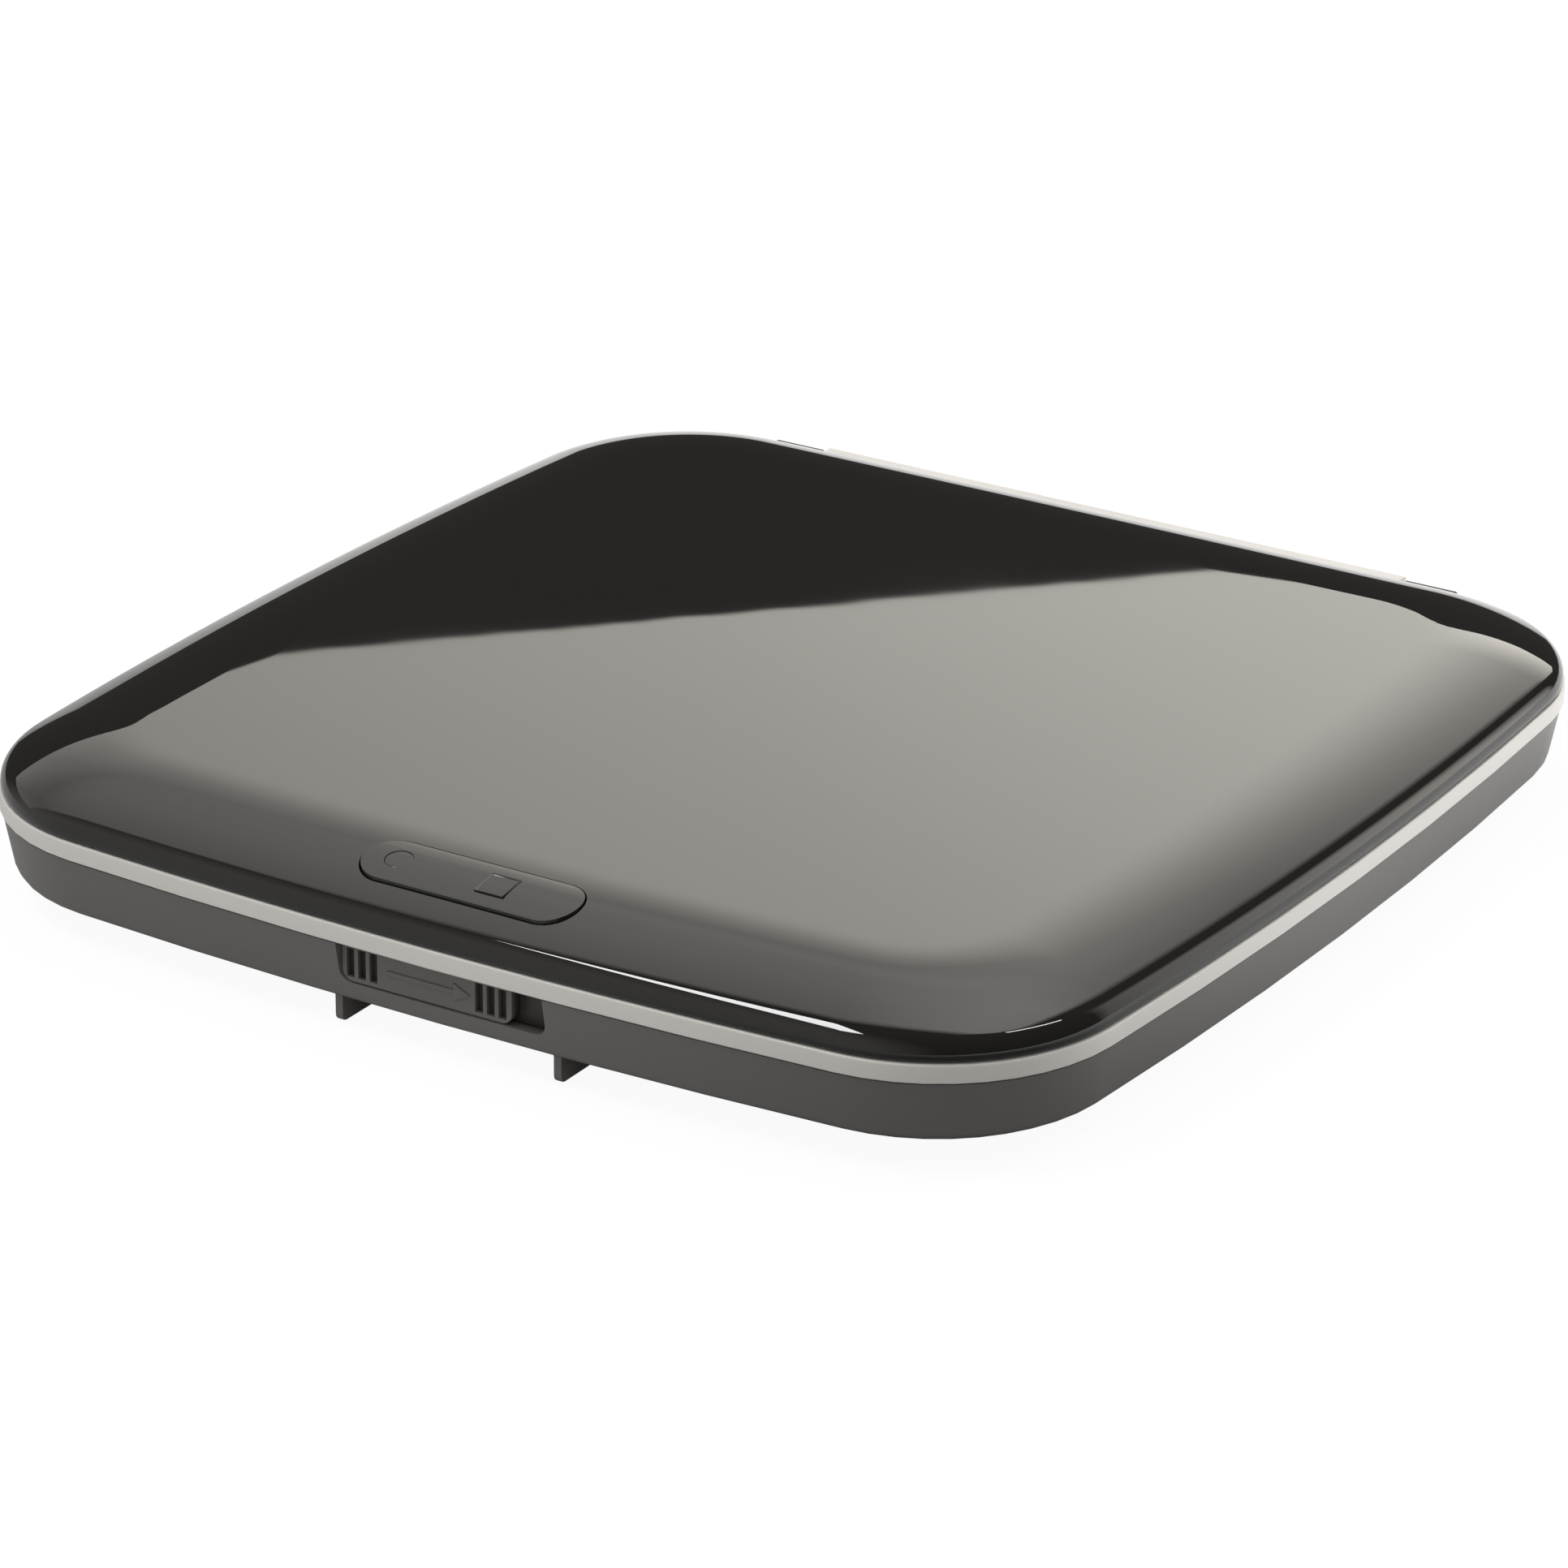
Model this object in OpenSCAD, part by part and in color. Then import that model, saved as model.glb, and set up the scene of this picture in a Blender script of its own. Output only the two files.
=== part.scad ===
// Top-loading external disc drive, rebuilt as an assembly of separate pieces.
// Millimetres. The resting plane is z = 0, the front is -Y and the lid hinge is at +Y.

/* [Case] */
// Width of the case across the silver band
body_w = 140; // [138:0.5:156]
// Depth of the case across the silver band
body_d = 143.7; // [142.5:0.1:160]
// Corner radius of the case in plan
corner_r = 22; // [21:0.5:26]
// Radius of the bowed front edge in plan
front_arc = 648; // [500:10:2000]
// Radius of the bowed left and right edges in plan
side_arc = 683; // [500:10:2000]
// Radius of the nearly straight rear edge in plan
rear_arc = 5000; // [3000:100:9000]
// Height of the dark base wall below the silver band
base_h = 7.2; // [7.2:0.1:9]
// Height of the silver band
trim_h = 2.15; // [2.15:0.05:3]
// Thickness of the base floor
floor_t = 1.2; // [1:0.1:1.2]
// Shadow gap between the base wall and the silver band
seam = 0.15; // [0.05:0.05:0.3]

/* [Lid] */
// Gap between the closed lid and the silver band
lid_seam = 0.15; // [0.1:0.05:0.3]
// Height of the upright lid wall above the silver band
lid_edge = 0.5; // [0.5:0.1:1.5]
// Radius of the rounded lid edge
lid_round = 2.4; // [2.3:0.1:2.6]
// Slope of the lid surface just inside its rounded edge, rise over run
lid_slope = 0.55; // [0.54:0.01:0.6]
// Width of the domed border of the lid
dome_zone = 11.2; // [10.8:0.1:12]
// Vertical thickness of the lid shell
lid_t = 1.5; // [1.2:0.1:1.6]
// Diameter of the hinge pins
pin_d = 1.4; // [1:0.1:1.6]
// Running clearance round the hinge pins
pin_gap = 0.05; // [0.02:0.01:0.1]
// Length of the silver hinge bar
bar_w = 78.6; // [60:0.2:79]

/* [Disc bay] */
// Diameter of the recess that takes the disc
well_d = 122.6; // [122:0.2:123.4]
// Distance of the spindle axis in front of the case centre
spindle_back = 1.5; // [1:0.1:2]
// Radius of the hub collar that centres the disc
hub_r = 7.4; // [7.3:0.02:7.46]
// Outward reach of the chuck lugs past the hub collar
lug_out = 0.4; // [0.2:0.05:0.5]
// Radius of the turntable flange
table_r = 13.2; // [12.5:0.1:14]

/* [Stop button] */
// Length of the stop button
button_l = 26.6; // [22:0.2:28]
// Width of the stop button in plan
button_w = 7; // [6:0.1:7.4]
// Gap round the stop button
button_gap = 0.25; // [0.15:0.05:0.35]
// Diameter of the indicator window
led_d = 3.05; // [2:0.05:3.2]

/* [Opening slide] */
// Length of the slide face
slide_l = 21.3; // [18:0.1:21.5]
// Travel of the slide to release the lid
slide_run = 4; // [3:0.1:4.2]
// Height of the slide face
slide_h = 4.2; // [3.6:0.1:4.3]
// Running clearance of the slide
slide_gap = 0.1; // [0.05:0.01:0.2]

/* [Optical sled] */
// Diameter of the two guide rods
rod_d = 1.8; // [1.6:0.1:1.9]
// Clearance of the sled bearings on the rods
rod_gap = 0.05; // [0.02:0.01:0.1]
// Radius of the lens track when the sled is parked
lens_in = 23.5; // [23:0.1:24]
// Travel of the sled
sled_run = 34; // [30:0.5:34]
// Diameter of the lead screw
screw_d = 2; // [1.6:0.1:2.2]

/* [Rubber feet] */
// Height of the feet below the base
foot_h = 3.2; // [3.1:0.1:5]
// Diameter of the feet
foot_d = 10; // [8:0.5:12]
// Depth of the foot recess in the base
foot_sink = 0.6; // [0.3:0.1:0.8]

/* [Hidden] */
$fn = 48;

// Levels, from the resting plane up
base_z = foot_h;
floor_z = base_z + floor_t;
part_z = base_z + base_h;
trim_z = part_z + trim_h;
lid_z = trim_z + lid_seam;
deck_z = trim_z - 0.2;
well_z = deck_z - 1.85;
under_z = well_z - 1.2;
ledge_z = part_z + 0.6;
disc_z = well_z + 1.2;

// Plan lines
front_y = -body_d / 2;
rear_y = body_d / 2;
half_w = body_w / 2;
spin_y = -spindle_back;
wall_in = 2.6;
bay_side = 8.7;
bay_end = 10.55;
well_r = min(well_d / 2, half_w - bay_side, rear_y - bay_end);

// Hinge
hinge_y = rear_y - 1.85;
pin_r = pin_d / 2;
knuckle_r = 1.35;
hinge_z = lid_z + knuckle_r;
bar_r = 2.1;
notch_y = hinge_y - bar_r - 0.4;
notch_w = bar_w + 14.6;
knuckle_x = notch_w / 2 - 3.5;

// Lid surface, from the upright wall round the edge to the dome
wall_top = trim_z + lid_edge;
lean = atan(lid_slope);
dome_in = 0.2 + lid_round * (1 - sin(lean));
dome_low = wall_top + lid_round * cos(lean);

// Inner panel of the lid
panel_in = 8.6;
panel_z = lid_z + 2.55;
panel_t = 0.8;
panel_x = half_w - 26;
panel_y = rear_y - 31.85;

// Traverse unit
plate_z = under_z - 1.7;
plate_t = 0.8;
rod_r = rod_d / 2;
rod_z = floor_z + 1.6;
rod_y = 16;
plate_y = 25.5;
damper_y = 22;
flange = 0.4;
screw_r = screw_d / 2;
screw_z = floor_z + 2.3;
screw_y = 29;
sled_x0 = lens_in - 9.7;
sled_x1 = lens_in + 6.3;
travel = min(sled_run, half_w - sled_x1 - 6.2);
stop_x = sled_x1 + travel + 0.2;
damper_x = [-25, stop_x - 4];

// Latch and button
latch_x = -1.15;
slide_x0 = latch_x - slide_l / 2;
slide_x1 = latch_x + slide_l / 2;
hook_y = front_y + 6.15;
hook_x = 5;
wall_y = front_y + wall_in;
face_y = front_y + 1.4;
carry_y = wall_y + slide_gap + 0.36;
carry_t = 1;
button_x = 0.25;
button_y = front_y + 7.9;
led_x = button_x - 9.2;
press_x = -5.5;
press_y = front_y + 6.55;
lidsw_x = -18;
lidsw_y = front_y + 8.05;
board_z = floor_z + 0.5;
front_board_z = floor_z + 2.7;

// Fastener places
boss_x = half_w - 14;
boss_y = [front_y + 17.8, rear_y - 17.8];
foot_x = half_w - 22;
foot_y = [front_y + 24, rear_y - 24];
usb_x = -34;
usb_z = floor_z + 0.65;

// Plan outline: four bowed sides joined by tangent corner arcs, drawn in by i
function meet(a, ra, b, rb) =
  let (d = b - a, l = norm(d), u = d / l, t = (ra * ra - rb * rb + l * l) / (2 * l))
  a + u * t + sqrt(ra * ra - t * t) * [-u[1], u[0]];
function bend(o, r, a, b, n) =
  [for (j = [0 : n - 1]) let (t = a + (b - a) * j / n) o + r * [cos(t), sin(t)]];
function dir(c, o) = atan2(c[1] - o[1], c[0] - o[0]);
function flip(p) = [-p[0], p[1]];
function edge(i, k = 1) =
  let (
    rr = side_arc - i, rb = rear_arc - i, rf = front_arc - i, c = corner_r - k * i,
    o_r = [half_w - side_arc, 0], o_b = [0, rear_y - rear_arc], o_f = [0, front_y + front_arc],
    c_f = meet(o_f, rf - c, o_r, rr - c), c_b = meet(o_r, rr - c, o_b, rb - c),
    r0 = dir(c_f, o_r), r1 = dir(c_b, o_r), b0 = dir(c_b, o_b), f1 = dir(c_f, o_f)
  )
  concat(
    bend(o_r, rr, r0, r1, 6), bend(c_b, c, r1, b0, 10),
    bend(o_b, rb, b0, 180 - b0, 6), bend(flip(c_b), c, 180 - b0, 180 - r1, 10),
    bend(flip(o_r), rr, 180 - r1, 180 - r0, 6), bend(flip(c_f), c, 180 - r0, 180 - f1, 10),
    bend(o_f, rf, 180 - f1, 360 + f1, 6), bend(c_f, c, 360 + f1, 360 + r0, 10));

// Height of the lid's outer surface at inset i
function dome(i) =
  let (u = min(i - dome_in, dome_zone))
  dome_low + lid_slope * u - lid_slope / (2 * dome_zone) * u * u;

// Solid through a list of [inset, height] rings; with loop the last ring joins the first
module loft(rings, k = 1, loop = false) {
  sets = [for (r = rings) [for (p = edge(r[0], k)) [p[0], p[1], r[1]]]];
  n = len(sets[0]);
  m = len(sets);
  last = loop ? m - 1 : m - 2;
  sides = [for (j = [0 : last]) for (i = [0 : n - 1])
    let (a = j * n, b = ((j + 1) % m) * n, e = (i + 1) % n)
    each [[a + i, b + i, b + e], [a + i, b + e, a + e]]];
  caps = loop ? [] : [[for (i = [0 : n - 1]) i], [for (i = [n - 1 : -1 : 0]) (m - 1) * n + i]];
  polyhedron(points = [for (s = sets) each s], faces = concat(caps, sides), convexity = 6);
}

// Upright prism on the outline drawn in by i
module slab(i, z0, z1) {
  translate([0, 0, z0]) linear_extrude(z1 - z0) polygon(edge(i));
}

// Block between two corners
module block(a, b) {
  translate(a) cube(b - a);
}

// Upright cylinder by its axis, radius and ends
module post(x, y, r, z0, z1) {
  translate([x, y, z0]) cylinder(r = r, h = z1 - z0);
}

// Cylinder along X
module bar(x0, x1, y, z, r) {
  translate([x0, y, z]) rotate([0, 90, 0]) cylinder(r = r, h = x1 - x0);
}

// Profile of [y, z] points drawn along X
module along_x(x0, x1, pts) {
  translate([x0, 0, 0]) rotate([90, 0, 90]) linear_extrude(x1 - x0) polygon(pts);
}

// Stadium in plan, l long and w wide
module stadium(l, w) {
  square([l - w, w], center = true);
  translate([-(l - w) / 2, 0]) circle(d = w);
  translate([(l - w) / 2, 0]) circle(d = w);
}

// Rectangle between two corners with rounded lower corners
module window(x0, z0, x1, z1, r) {
  translate([x0 + r, z0]) square([x1 - x0 - 2 * r, z1 - z0]);
  translate([x0, z0 + r]) square([x1 - x0, z1 - z0 - r]);
  translate([x0 + r, z0 + r]) circle(r);
  translate([x1 - r, z0 + r]) circle(r);
}

// Everything below the lid surface at the stop button, lifted by up
module under_slope(up) {
  run = [for (i = [1.75 : 1 : 17.75]) [front_y + i, dome(i) + up]];
  along_x(-40, 40, concat(run, [[front_y + 17.75, 0], [front_y + 1.75, 0]]));
}

// Fin under the front edge that lifts the latch clear of the table
module fin(x) {
  y0 = front_y + 2.35;
  z0 = 0.3;
  run = [for (t = [0 : 10 : 90]) [y0 + 5 + 5 * sin(t), z0 + (base_z + 0.3 - z0) * (1 - cos(t))]];
  tip = [for (t = [0 : 30 : 90]) [y0 + 0.7 - 0.7 * sin(t), z0 + 0.7 - 0.7 * cos(t)]];
  along_x(x - 0.475, x + 0.475, concat(run, [[y0, base_z + 0.9]], [for (j = [3 : -1 : 0]) tip[j]]));
}

module base_shell() {
  color([0.3, 0.3, 0.29]) difference() {
    union() {
      difference() {
        loft([[3, base_z], [2.3, base_z + 0.08], [1.75, base_z + 0.4], [1.4, base_z + 1],
          [0.25, part_z - seam]]);
        slab(wall_in, floor_z, part_z + 1);
      }
      for (x = damper_x, s = [-1, 1]) post(x, spin_y + s * damper_y, 2.6, floor_z - 0.2, plate_z - flange);
      for (x = [-boss_x, boss_x], y = boss_y) post(x, y, 3, floor_z - 0.2, floor_z + 2.1);
      for (p = [[-58, -30], [-58, 36], [-36, -30], [-28, 52]])
        post(p[0], p[1], 1.6, floor_z - 0.2, board_z);
      for (x = [-20, -2]) post(x, front_y + 12, 1.4, floor_z - 0.2, front_board_z);
      for (x = [-13, -3]) block([x, carry_y + carry_t + slide_gap, floor_z - 0.2],
        [x + 3, carry_y + carry_t + 1.2, floor_z + 2.4]);
      block([29, front_y + 3.4, floor_z - 0.2], [31, front_y + 6.4, floor_z + 3.8]);
      fin(-12.95);
      fin(14.47);
    }
    for (x = damper_x, s = [-1, 1]) post(x, spin_y + s * damper_y, 0.82, floor_z, part_z);
    for (x = [-boss_x, boss_x], y = boss_y) {
      post(x, y, 1.2, base_z - 1, part_z);
      post(x, y, 2.4, base_z - 1, base_z + 1.2);
    }
    for (x = [-foot_x, foot_x], y = foot_y) post(x, y, foot_d / 2 + 0.05, base_z - 1, base_z + foot_sink);
    translate([0, front_y + 6, 0]) rotate([90, 0, 0]) linear_extrude(10)
      window(slide_x0 - slide_gap, part_z - 4.65, slide_x1 + slide_run + 0.3, part_z + 2, 1.4);
    block([usb_x - 4.15, rear_y - 4, usb_z - 0.3], [usb_x + 4.15, rear_y + 1, usb_z + 4.2]);
  }
}

module rubber_feet() {
  color([0.08, 0.08, 0.08]) for (x = [-foot_x, foot_x], y = foot_y)
    translate([x, y, 0]) rotate_extrude() polygon([[0, 0], [foot_d / 2 - 0.5, 0], [foot_d / 2, 0.5],
      [foot_d / 2, base_z + foot_sink], [0, base_z + foot_sink]]);
}

module case_screws() {
  color([0.55, 0.55, 0.56]) for (x = [-boss_x, boss_x], y = boss_y) {
    difference() {
      post(x, y, 2.1, base_z + 0.15, base_z + 1.2);
      translate([x - 0.3, y - 1.4, base_z]) cube([0.6, 2.8, 0.65]);
      translate([x - 1.4, y - 0.3, base_z]) cube([2.8, 0.6, 0.65]);
    }
    post(x, y, 1, base_z + 1.1, under_z + 0.4);
  }
}

module trim_frame() {
  y0 = hinge_y - bar_r;
  ang = asin(knuckle_r / bar_r);
  front = [for (t = [0 : 0.2 : 1]) [hinge_y - bar_r * cos(ang * t), hinge_z + bar_r * sin(ang * t)]];
  color([0.72, 0.7, 0.68]) difference() {
    union() {
      loft([[0.15, part_z], [0, part_z + 0.15], [0, trim_z - 0.3], [0.1, trim_z - 0.1], [0.3, trim_z],
        [3, trim_z], [3, ledge_z], [5.2, ledge_z], [5.2, part_z], [3.9, part_z], [3.9, part_z - 1],
        [2.75, part_z - 1], [2.75, part_z]], loop = true);
      along_x(-bar_w / 2, bar_w / 2, concat(front, [[hinge_y + 1.2, hinge_z + knuckle_r],
        [hinge_y + 1.5, hinge_z + knuckle_r - 0.12], [hinge_y + 1.6, hinge_z + knuckle_r - 0.4],
        [hinge_y + 1.6, trim_z - 0.3], [rear_y - 2.9, trim_z - 0.3], [rear_y - 2.9, lid_z + 0.05],
        [y0, lid_z + 0.05]]));
    }
    for (s = [-1, 1]) bar(s * bar_w / 2 - 6, s * bar_w / 2 + 6, hinge_y, hinge_z, pin_r + 0.01);
  }
}

module disc_deck() {
  color([0.13, 0.13, 0.135]) difference() {
    union() {
      slab(3.1, ledge_z + 0.05, deck_z);
      for (a = [45 : 90 : 315]) translate([0, spin_y, well_z - 0.3]) rotate(a)
        translate([well_r + 1, 0, 0]) cylinder(r = 9.2, h = deck_z - well_z + 0.3);
      post(0, spin_y, well_r + 1.2, under_z, deck_z);
      for (x = [-boss_x, boss_x], y = boss_y) post(x, y, 2.4, floor_z + 2.2, deck_z - 0.4);
    }
    translate([0, spin_y, well_z]) cylinder(r = well_r, h = 10, $fn = 120);
    block([-24, spin_y - plate_y, 0], [stop_x - 14, spin_y + plate_y, deck_z + 1]);
    block([stop_x - 15, spin_y - 11, 0], [stop_x - 4, spin_y + 11, deck_z + 1]);
    block([stop_x - 5, spin_y - 5.2, 0], [lens_in + travel + 4.2, spin_y + 5.2, well_z + 0.8]);
    for (x = [-boss_x, boss_x], y = boss_y) post(x, y, 1.02, 0, under_z + 0.6);
    post(press_x, press_y, 1.1, 0, deck_z + 1);
    post(lidsw_x, lidsw_y, 1.1, 0, deck_z + 1);
    post(led_x, front_y + 6.95, 1.5, 0, deck_z + 1);
    block([hook_x - 0.4, hook_y - 1, ledge_z - 1], [hook_x + 5.2, hook_y + 1, deck_z + 1]);
    for (a = [45 : 90 : 315])
      translate([0, spin_y, well_z + 0.35]) rotate(a) translate([well_r + 1, 0, 0]) cylinder(r = 8, h = 5);
  }
}

module hinge_pins() {
  color([0.7, 0.7, 0.72]) for (s = [-1, 1])
    bar(s * (bar_w / 2 + 0.7) - 6.2, s * (bar_w / 2 + 0.7) + 6.2, hinge_y, hinge_z, pin_r);
}

// Slide face with three grip grooves at each end, on a carrier with the latch tooth
module open_slider() {
  y0 = carry_y;
  z0 = part_z - 0.35 - slide_h;
  color([0.25, 0.24, 0.23]) difference() {
    union() {
      translate([0, wall_y + 0.05, 0]) rotate([90, 0, 0]) linear_extrude(wall_y + 0.05 - face_y)
        window(slide_x0, z0, slide_x1, z0 + slide_h, 1.3);
      translate([0, y0 + 0.3, 0]) rotate([90, 0, 0]) linear_extrude(y0 - face_y - 0.2)
        window(slide_x0, z0, slide_x1, part_z - 1.2, 1.3);
      block([slide_x0 - 1.6, y0, floor_z + 0.15], [17, y0 + carry_t, part_z - 1.2]);
      block([hook_x + 4.9, y0 + 0.8, part_z - 1.5], [hook_x + 9.5, hook_y + 0.8, part_z - 1.05]);
      block([hook_x + 4.9, y0 + carry_t + 0.3, part_z - 1.2], [hook_x + 9.5, hook_y + 0.8, part_z - 0.2]);
      block([15, y0 + 0.8, floor_z + 0.15], [17, front_y + 6.4, floor_z + 3.9]);
    }
    for (x = [0.6, 2.05, 3.5, slide_l - 4.55, slide_l - 3.1, slide_l - 1.65])
      block([slide_x0 + x, face_y - 1, z0 + 0.45], [slide_x0 + x + 0.95, face_y + 0.9, z0 + slide_h - 0.45]);
  }
}

// Return spring of the slide, one unbroken wire
module slider_spring() {
  r = 1.2;
  w = 0.2;
  turns = 9;
  x0 = 17 + w + 0.05;
  x1 = 29 - w - 0.05;
  n = turns * 14;
  y = front_y + 4.95;
  z = floor_z + 2.1;
  pts = [for (j = [0 : n]) for (q = [0 : 5])
    let (a = 360 * turns * j / n, e = r + w * cos(60 * q))
    [x0 + (x1 - x0) * j / n + w * sin(60 * q), y + e * cos(a), z + e * sin(a)]];
  sides = [for (j = [0 : n - 1]) for (q = [0 : 5])
    let (a = j * 6 + q, b = j * 6 + (q + 1) % 6)
    each [[a, b + 6, b], [a, a + 6, b + 6]]];
  color([0.7, 0.7, 0.72]) polyhedron(points = pts,
    faces = concat([[0, 1, 2, 3, 4, 5]], [[for (q = [5 : -1 : 0]) n * 6 + q]], sides), convexity = 10);
}

module main_board() {
  color([0.1, 0.3, 0.16]) difference() {
    translate([0, 0, board_z]) linear_extrude(0.8)
      polygon([[7 - half_w, -38], [-31, -38], [-31, 44], [-22, 44], [-22, rear_y - 5], [-46, rear_y - 5],
        [-46, 44], [7 - half_w, 44]]);
    block([usb_x - 3.95, rear_y - 12, board_z - 1], [usb_x + 3.95, rear_y, board_z + 2]);
  }
}

module board_chips() {
  z = board_z + 0.8;
  color([0.06, 0.06, 0.065]) {
    block([-56, -8, z], [-42, 6, z + 1.2]);
    block([-58, 14, z], [-46, 22, z + 1]);
    block([-54, -28, z], [-44, -20, z + 1]);
    block([-42, 28, z], [-37, 33, z + 1]);
    block([-58, 30, z], [-53, 33.2, z + 1.3]);
  }
}

module ribbon_connector() {
  z = board_z + 0.8;
  color([0.85, 0.83, 0.76]) difference() {
    block([-37, spin_y - 6.5, z], [-32.2, spin_y + 6.5, z + 1.2]);
    block([-35, spin_y - 5.15, z + 0.4], [-31, spin_y + 5.15, z + 0.75]);
  }
}

module usb_socket() {
  y0 = rear_y - 10.4;
  y1 = rear_y - 1.25;
  color([0.75, 0.75, 0.76]) difference() {
    block([usb_x - 3.85, y0, usb_z], [usb_x + 3.85, y1, usb_z + 3.9]);
    block([usb_x - 3.45, y0 + 1, usb_z + 0.4], [usb_x + 3.45, y1 + 1, usb_z + 3.5]);
  }
}

module usb_tongue() {
  y0 = rear_y - 9.4;
  color([0.08, 0.08, 0.08]) {
    block([usb_x - 2.6, y0, usb_z + 1.7], [usb_x + 2.6, rear_y - 3.2, usb_z + 2.4]);
  }
}

module switch_board() {
  color([0.1, 0.3, 0.16]) block([-23, front_y + 4.9, front_board_z], [-0.5, front_y + 14, front_board_z + 0.8]);
}

module stop_switch() {
  z = front_board_z + 0.8;
  color([0.2, 0.2, 0.21]) difference() {
    block([press_x - 1.6, press_y - 1.3, z], [press_x + 1.6, press_y + 1.3, z + 2]);
    post(press_x, press_y, 0.75, z + 0.6, z + 5);
  }
}

module stop_switch_plunger() {
  z = front_board_z + 0.8;
  color([0.8, 0.8, 0.78]) post(press_x, press_y, 0.7, z + 1.2, deck_z - 0.1);
}

module lid_switch() {
  z = front_board_z + 0.8;
  color([0.2, 0.2, 0.21]) difference() {
    block([lidsw_x - 1.8, lidsw_y - 1.4, z], [lidsw_x + 1.8, lidsw_y + 1.4, z + 1.8]);
    post(lidsw_x, lidsw_y, 0.75, z + 0.4, z + 5);
  }
}

module lid_switch_pin() {
  z = front_board_z + 0.8;
  color([0.8, 0.8, 0.78]) post(lidsw_x, lidsw_y, 0.7, z + 1.1, lid_z + 0.15);
}

module status_led() {
  z = front_board_z + 0.8;
  color([0.85, 0.85, 0.8]) {
    post(led_x, front_y + 6.95, 1.3, z, deck_z - 0.2);
  }
}

// Flat cable with one fold under the sled; it rolls along as the sled moves
module pickup_ribbon() {
  t = 0.15;
  z0 = floor_z + 0.08;
  z1 = floor_z + 0.65;
  z2 = board_z + 0.8 + 0.5;
  fold = sled_x1 + 10;
  tie = lens_in;
  pts = [[-34.5, z2], [-30, z2], [-30, z0], [fold, z0], [fold, z1 + t], [tie, z1 + t], [tie, z1],
    [fold - t, z1], [fold - t, z0 + t], [-30 + t, z0 + t], [-30 + t, z2 + t], [-34.5, z2 + t]];
  color([0.8, 0.78, 0.7]) translate([0, spin_y + 5, 0]) rotate([90, 0, 0]) linear_extrude(10) polygon(pts);
}

// Sheet steel plate with rod holders and screw brackets
module traverse_plate() {
  z0 = plate_z;
  z1 = plate_z + plate_t;
  color([0.66, 0.66, 0.66]) difference() {
    union() {
      block([-29, spin_y - plate_y, z0], [stop_x + 2.6, spin_y + plate_y, z1]);
      for (x = [0, stop_x], s = [-1, 1])
        block([x, spin_y + s * rod_y - 2, floor_z + 0.1], [x + 2.5, spin_y + s * rod_y + 2, z0 + 0.1]);
      for (x = [-5, stop_x + 0.6]) {
        block([x, spin_y + plate_y - 1, z0], [x + 1.6, spin_y + screw_y + 2.2, z1]);
        block([x, spin_y + screw_y - 2.2, floor_z + 0.1], [x + 1.6, spin_y + screw_y + 2.2, z1]);
      }
    }
    post(0, spin_y, table_r - 1.4, 0, z1 + 1);
    block([sled_x0 - 1, spin_y - 13, 0], [stop_x - 0.6, spin_y + 13, z1 + 1]);
    for (x = damper_x, s = [-1, 1]) post(x, spin_y + s * damper_y, 2, 0, z1 + 1);
    for (s = [-1, 1]) bar(-1, stop_x + 4, spin_y + s * rod_y, rod_z, rod_r + 0.01);
    bar(-8, stop_x + 4, spin_y + screw_y, screw_z, screw_r + rod_gap);
  }
}

module rubber_dampers() {
  color([0.1, 0.1, 0.1]) for (x = damper_x, s = [-1, 1])
    translate([x, spin_y + s * damper_y, 0]) rotate_extrude() polygon([[0.9, plate_z - flange],
      [3, plate_z - flange], [3, plate_z], [2, plate_z], [2, plate_z + plate_t], [3, plate_z + plate_t],
      [3, plate_z + plate_t + flange], [0.9, plate_z + plate_t + flange]]);
}

module damper_screws() {
  z = plate_z + plate_t + flange;
  color([0.6, 0.6, 0.62]) for (x = damper_x, s = [-1, 1]) {
    difference() {
      post(x, spin_y + s * damper_y, 2.2, z, under_z - 0.1);
      translate([x - 1.2, spin_y + s * damper_y - 0.25, z + 0.2]) cube([2.4, 0.5, 2]);
      translate([x - 0.25, spin_y + s * damper_y - 1.2, z + 0.2]) cube([0.5, 2.4, 2]);
    }
    post(x, spin_y + s * damper_y, 0.8, floor_z + 0.2, z + 0.1);
  }
}

module guide_rods() {
  color([0.78, 0.78, 0.8]) for (s = [-1, 1])
    bar(0.3, stop_x + 2.3, spin_y + s * rod_y, rod_z, rod_r);
}

module spindle_motor() {
  z = plate_z;
  color([0.5, 0.48, 0.42]) translate([0, spin_y, 0]) difference() {
    union() {
      translate([0, 0, z - 0.9]) cylinder(r = table_r - 0.2, h = 0.9);
      translate([0, 0, floor_z + 0.4]) cylinder(r = 3.5, h = z - floor_z + 1.6);
      for (a = [0 : 40 : 320]) rotate(a) translate([2.5, -0.9, z - 0.1]) cube([5.5, 1.8, 1.7]);
    }
    translate([0, 0, floor_z + 1]) cylinder(r = 1.05, h = 20);
  }
}

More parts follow.
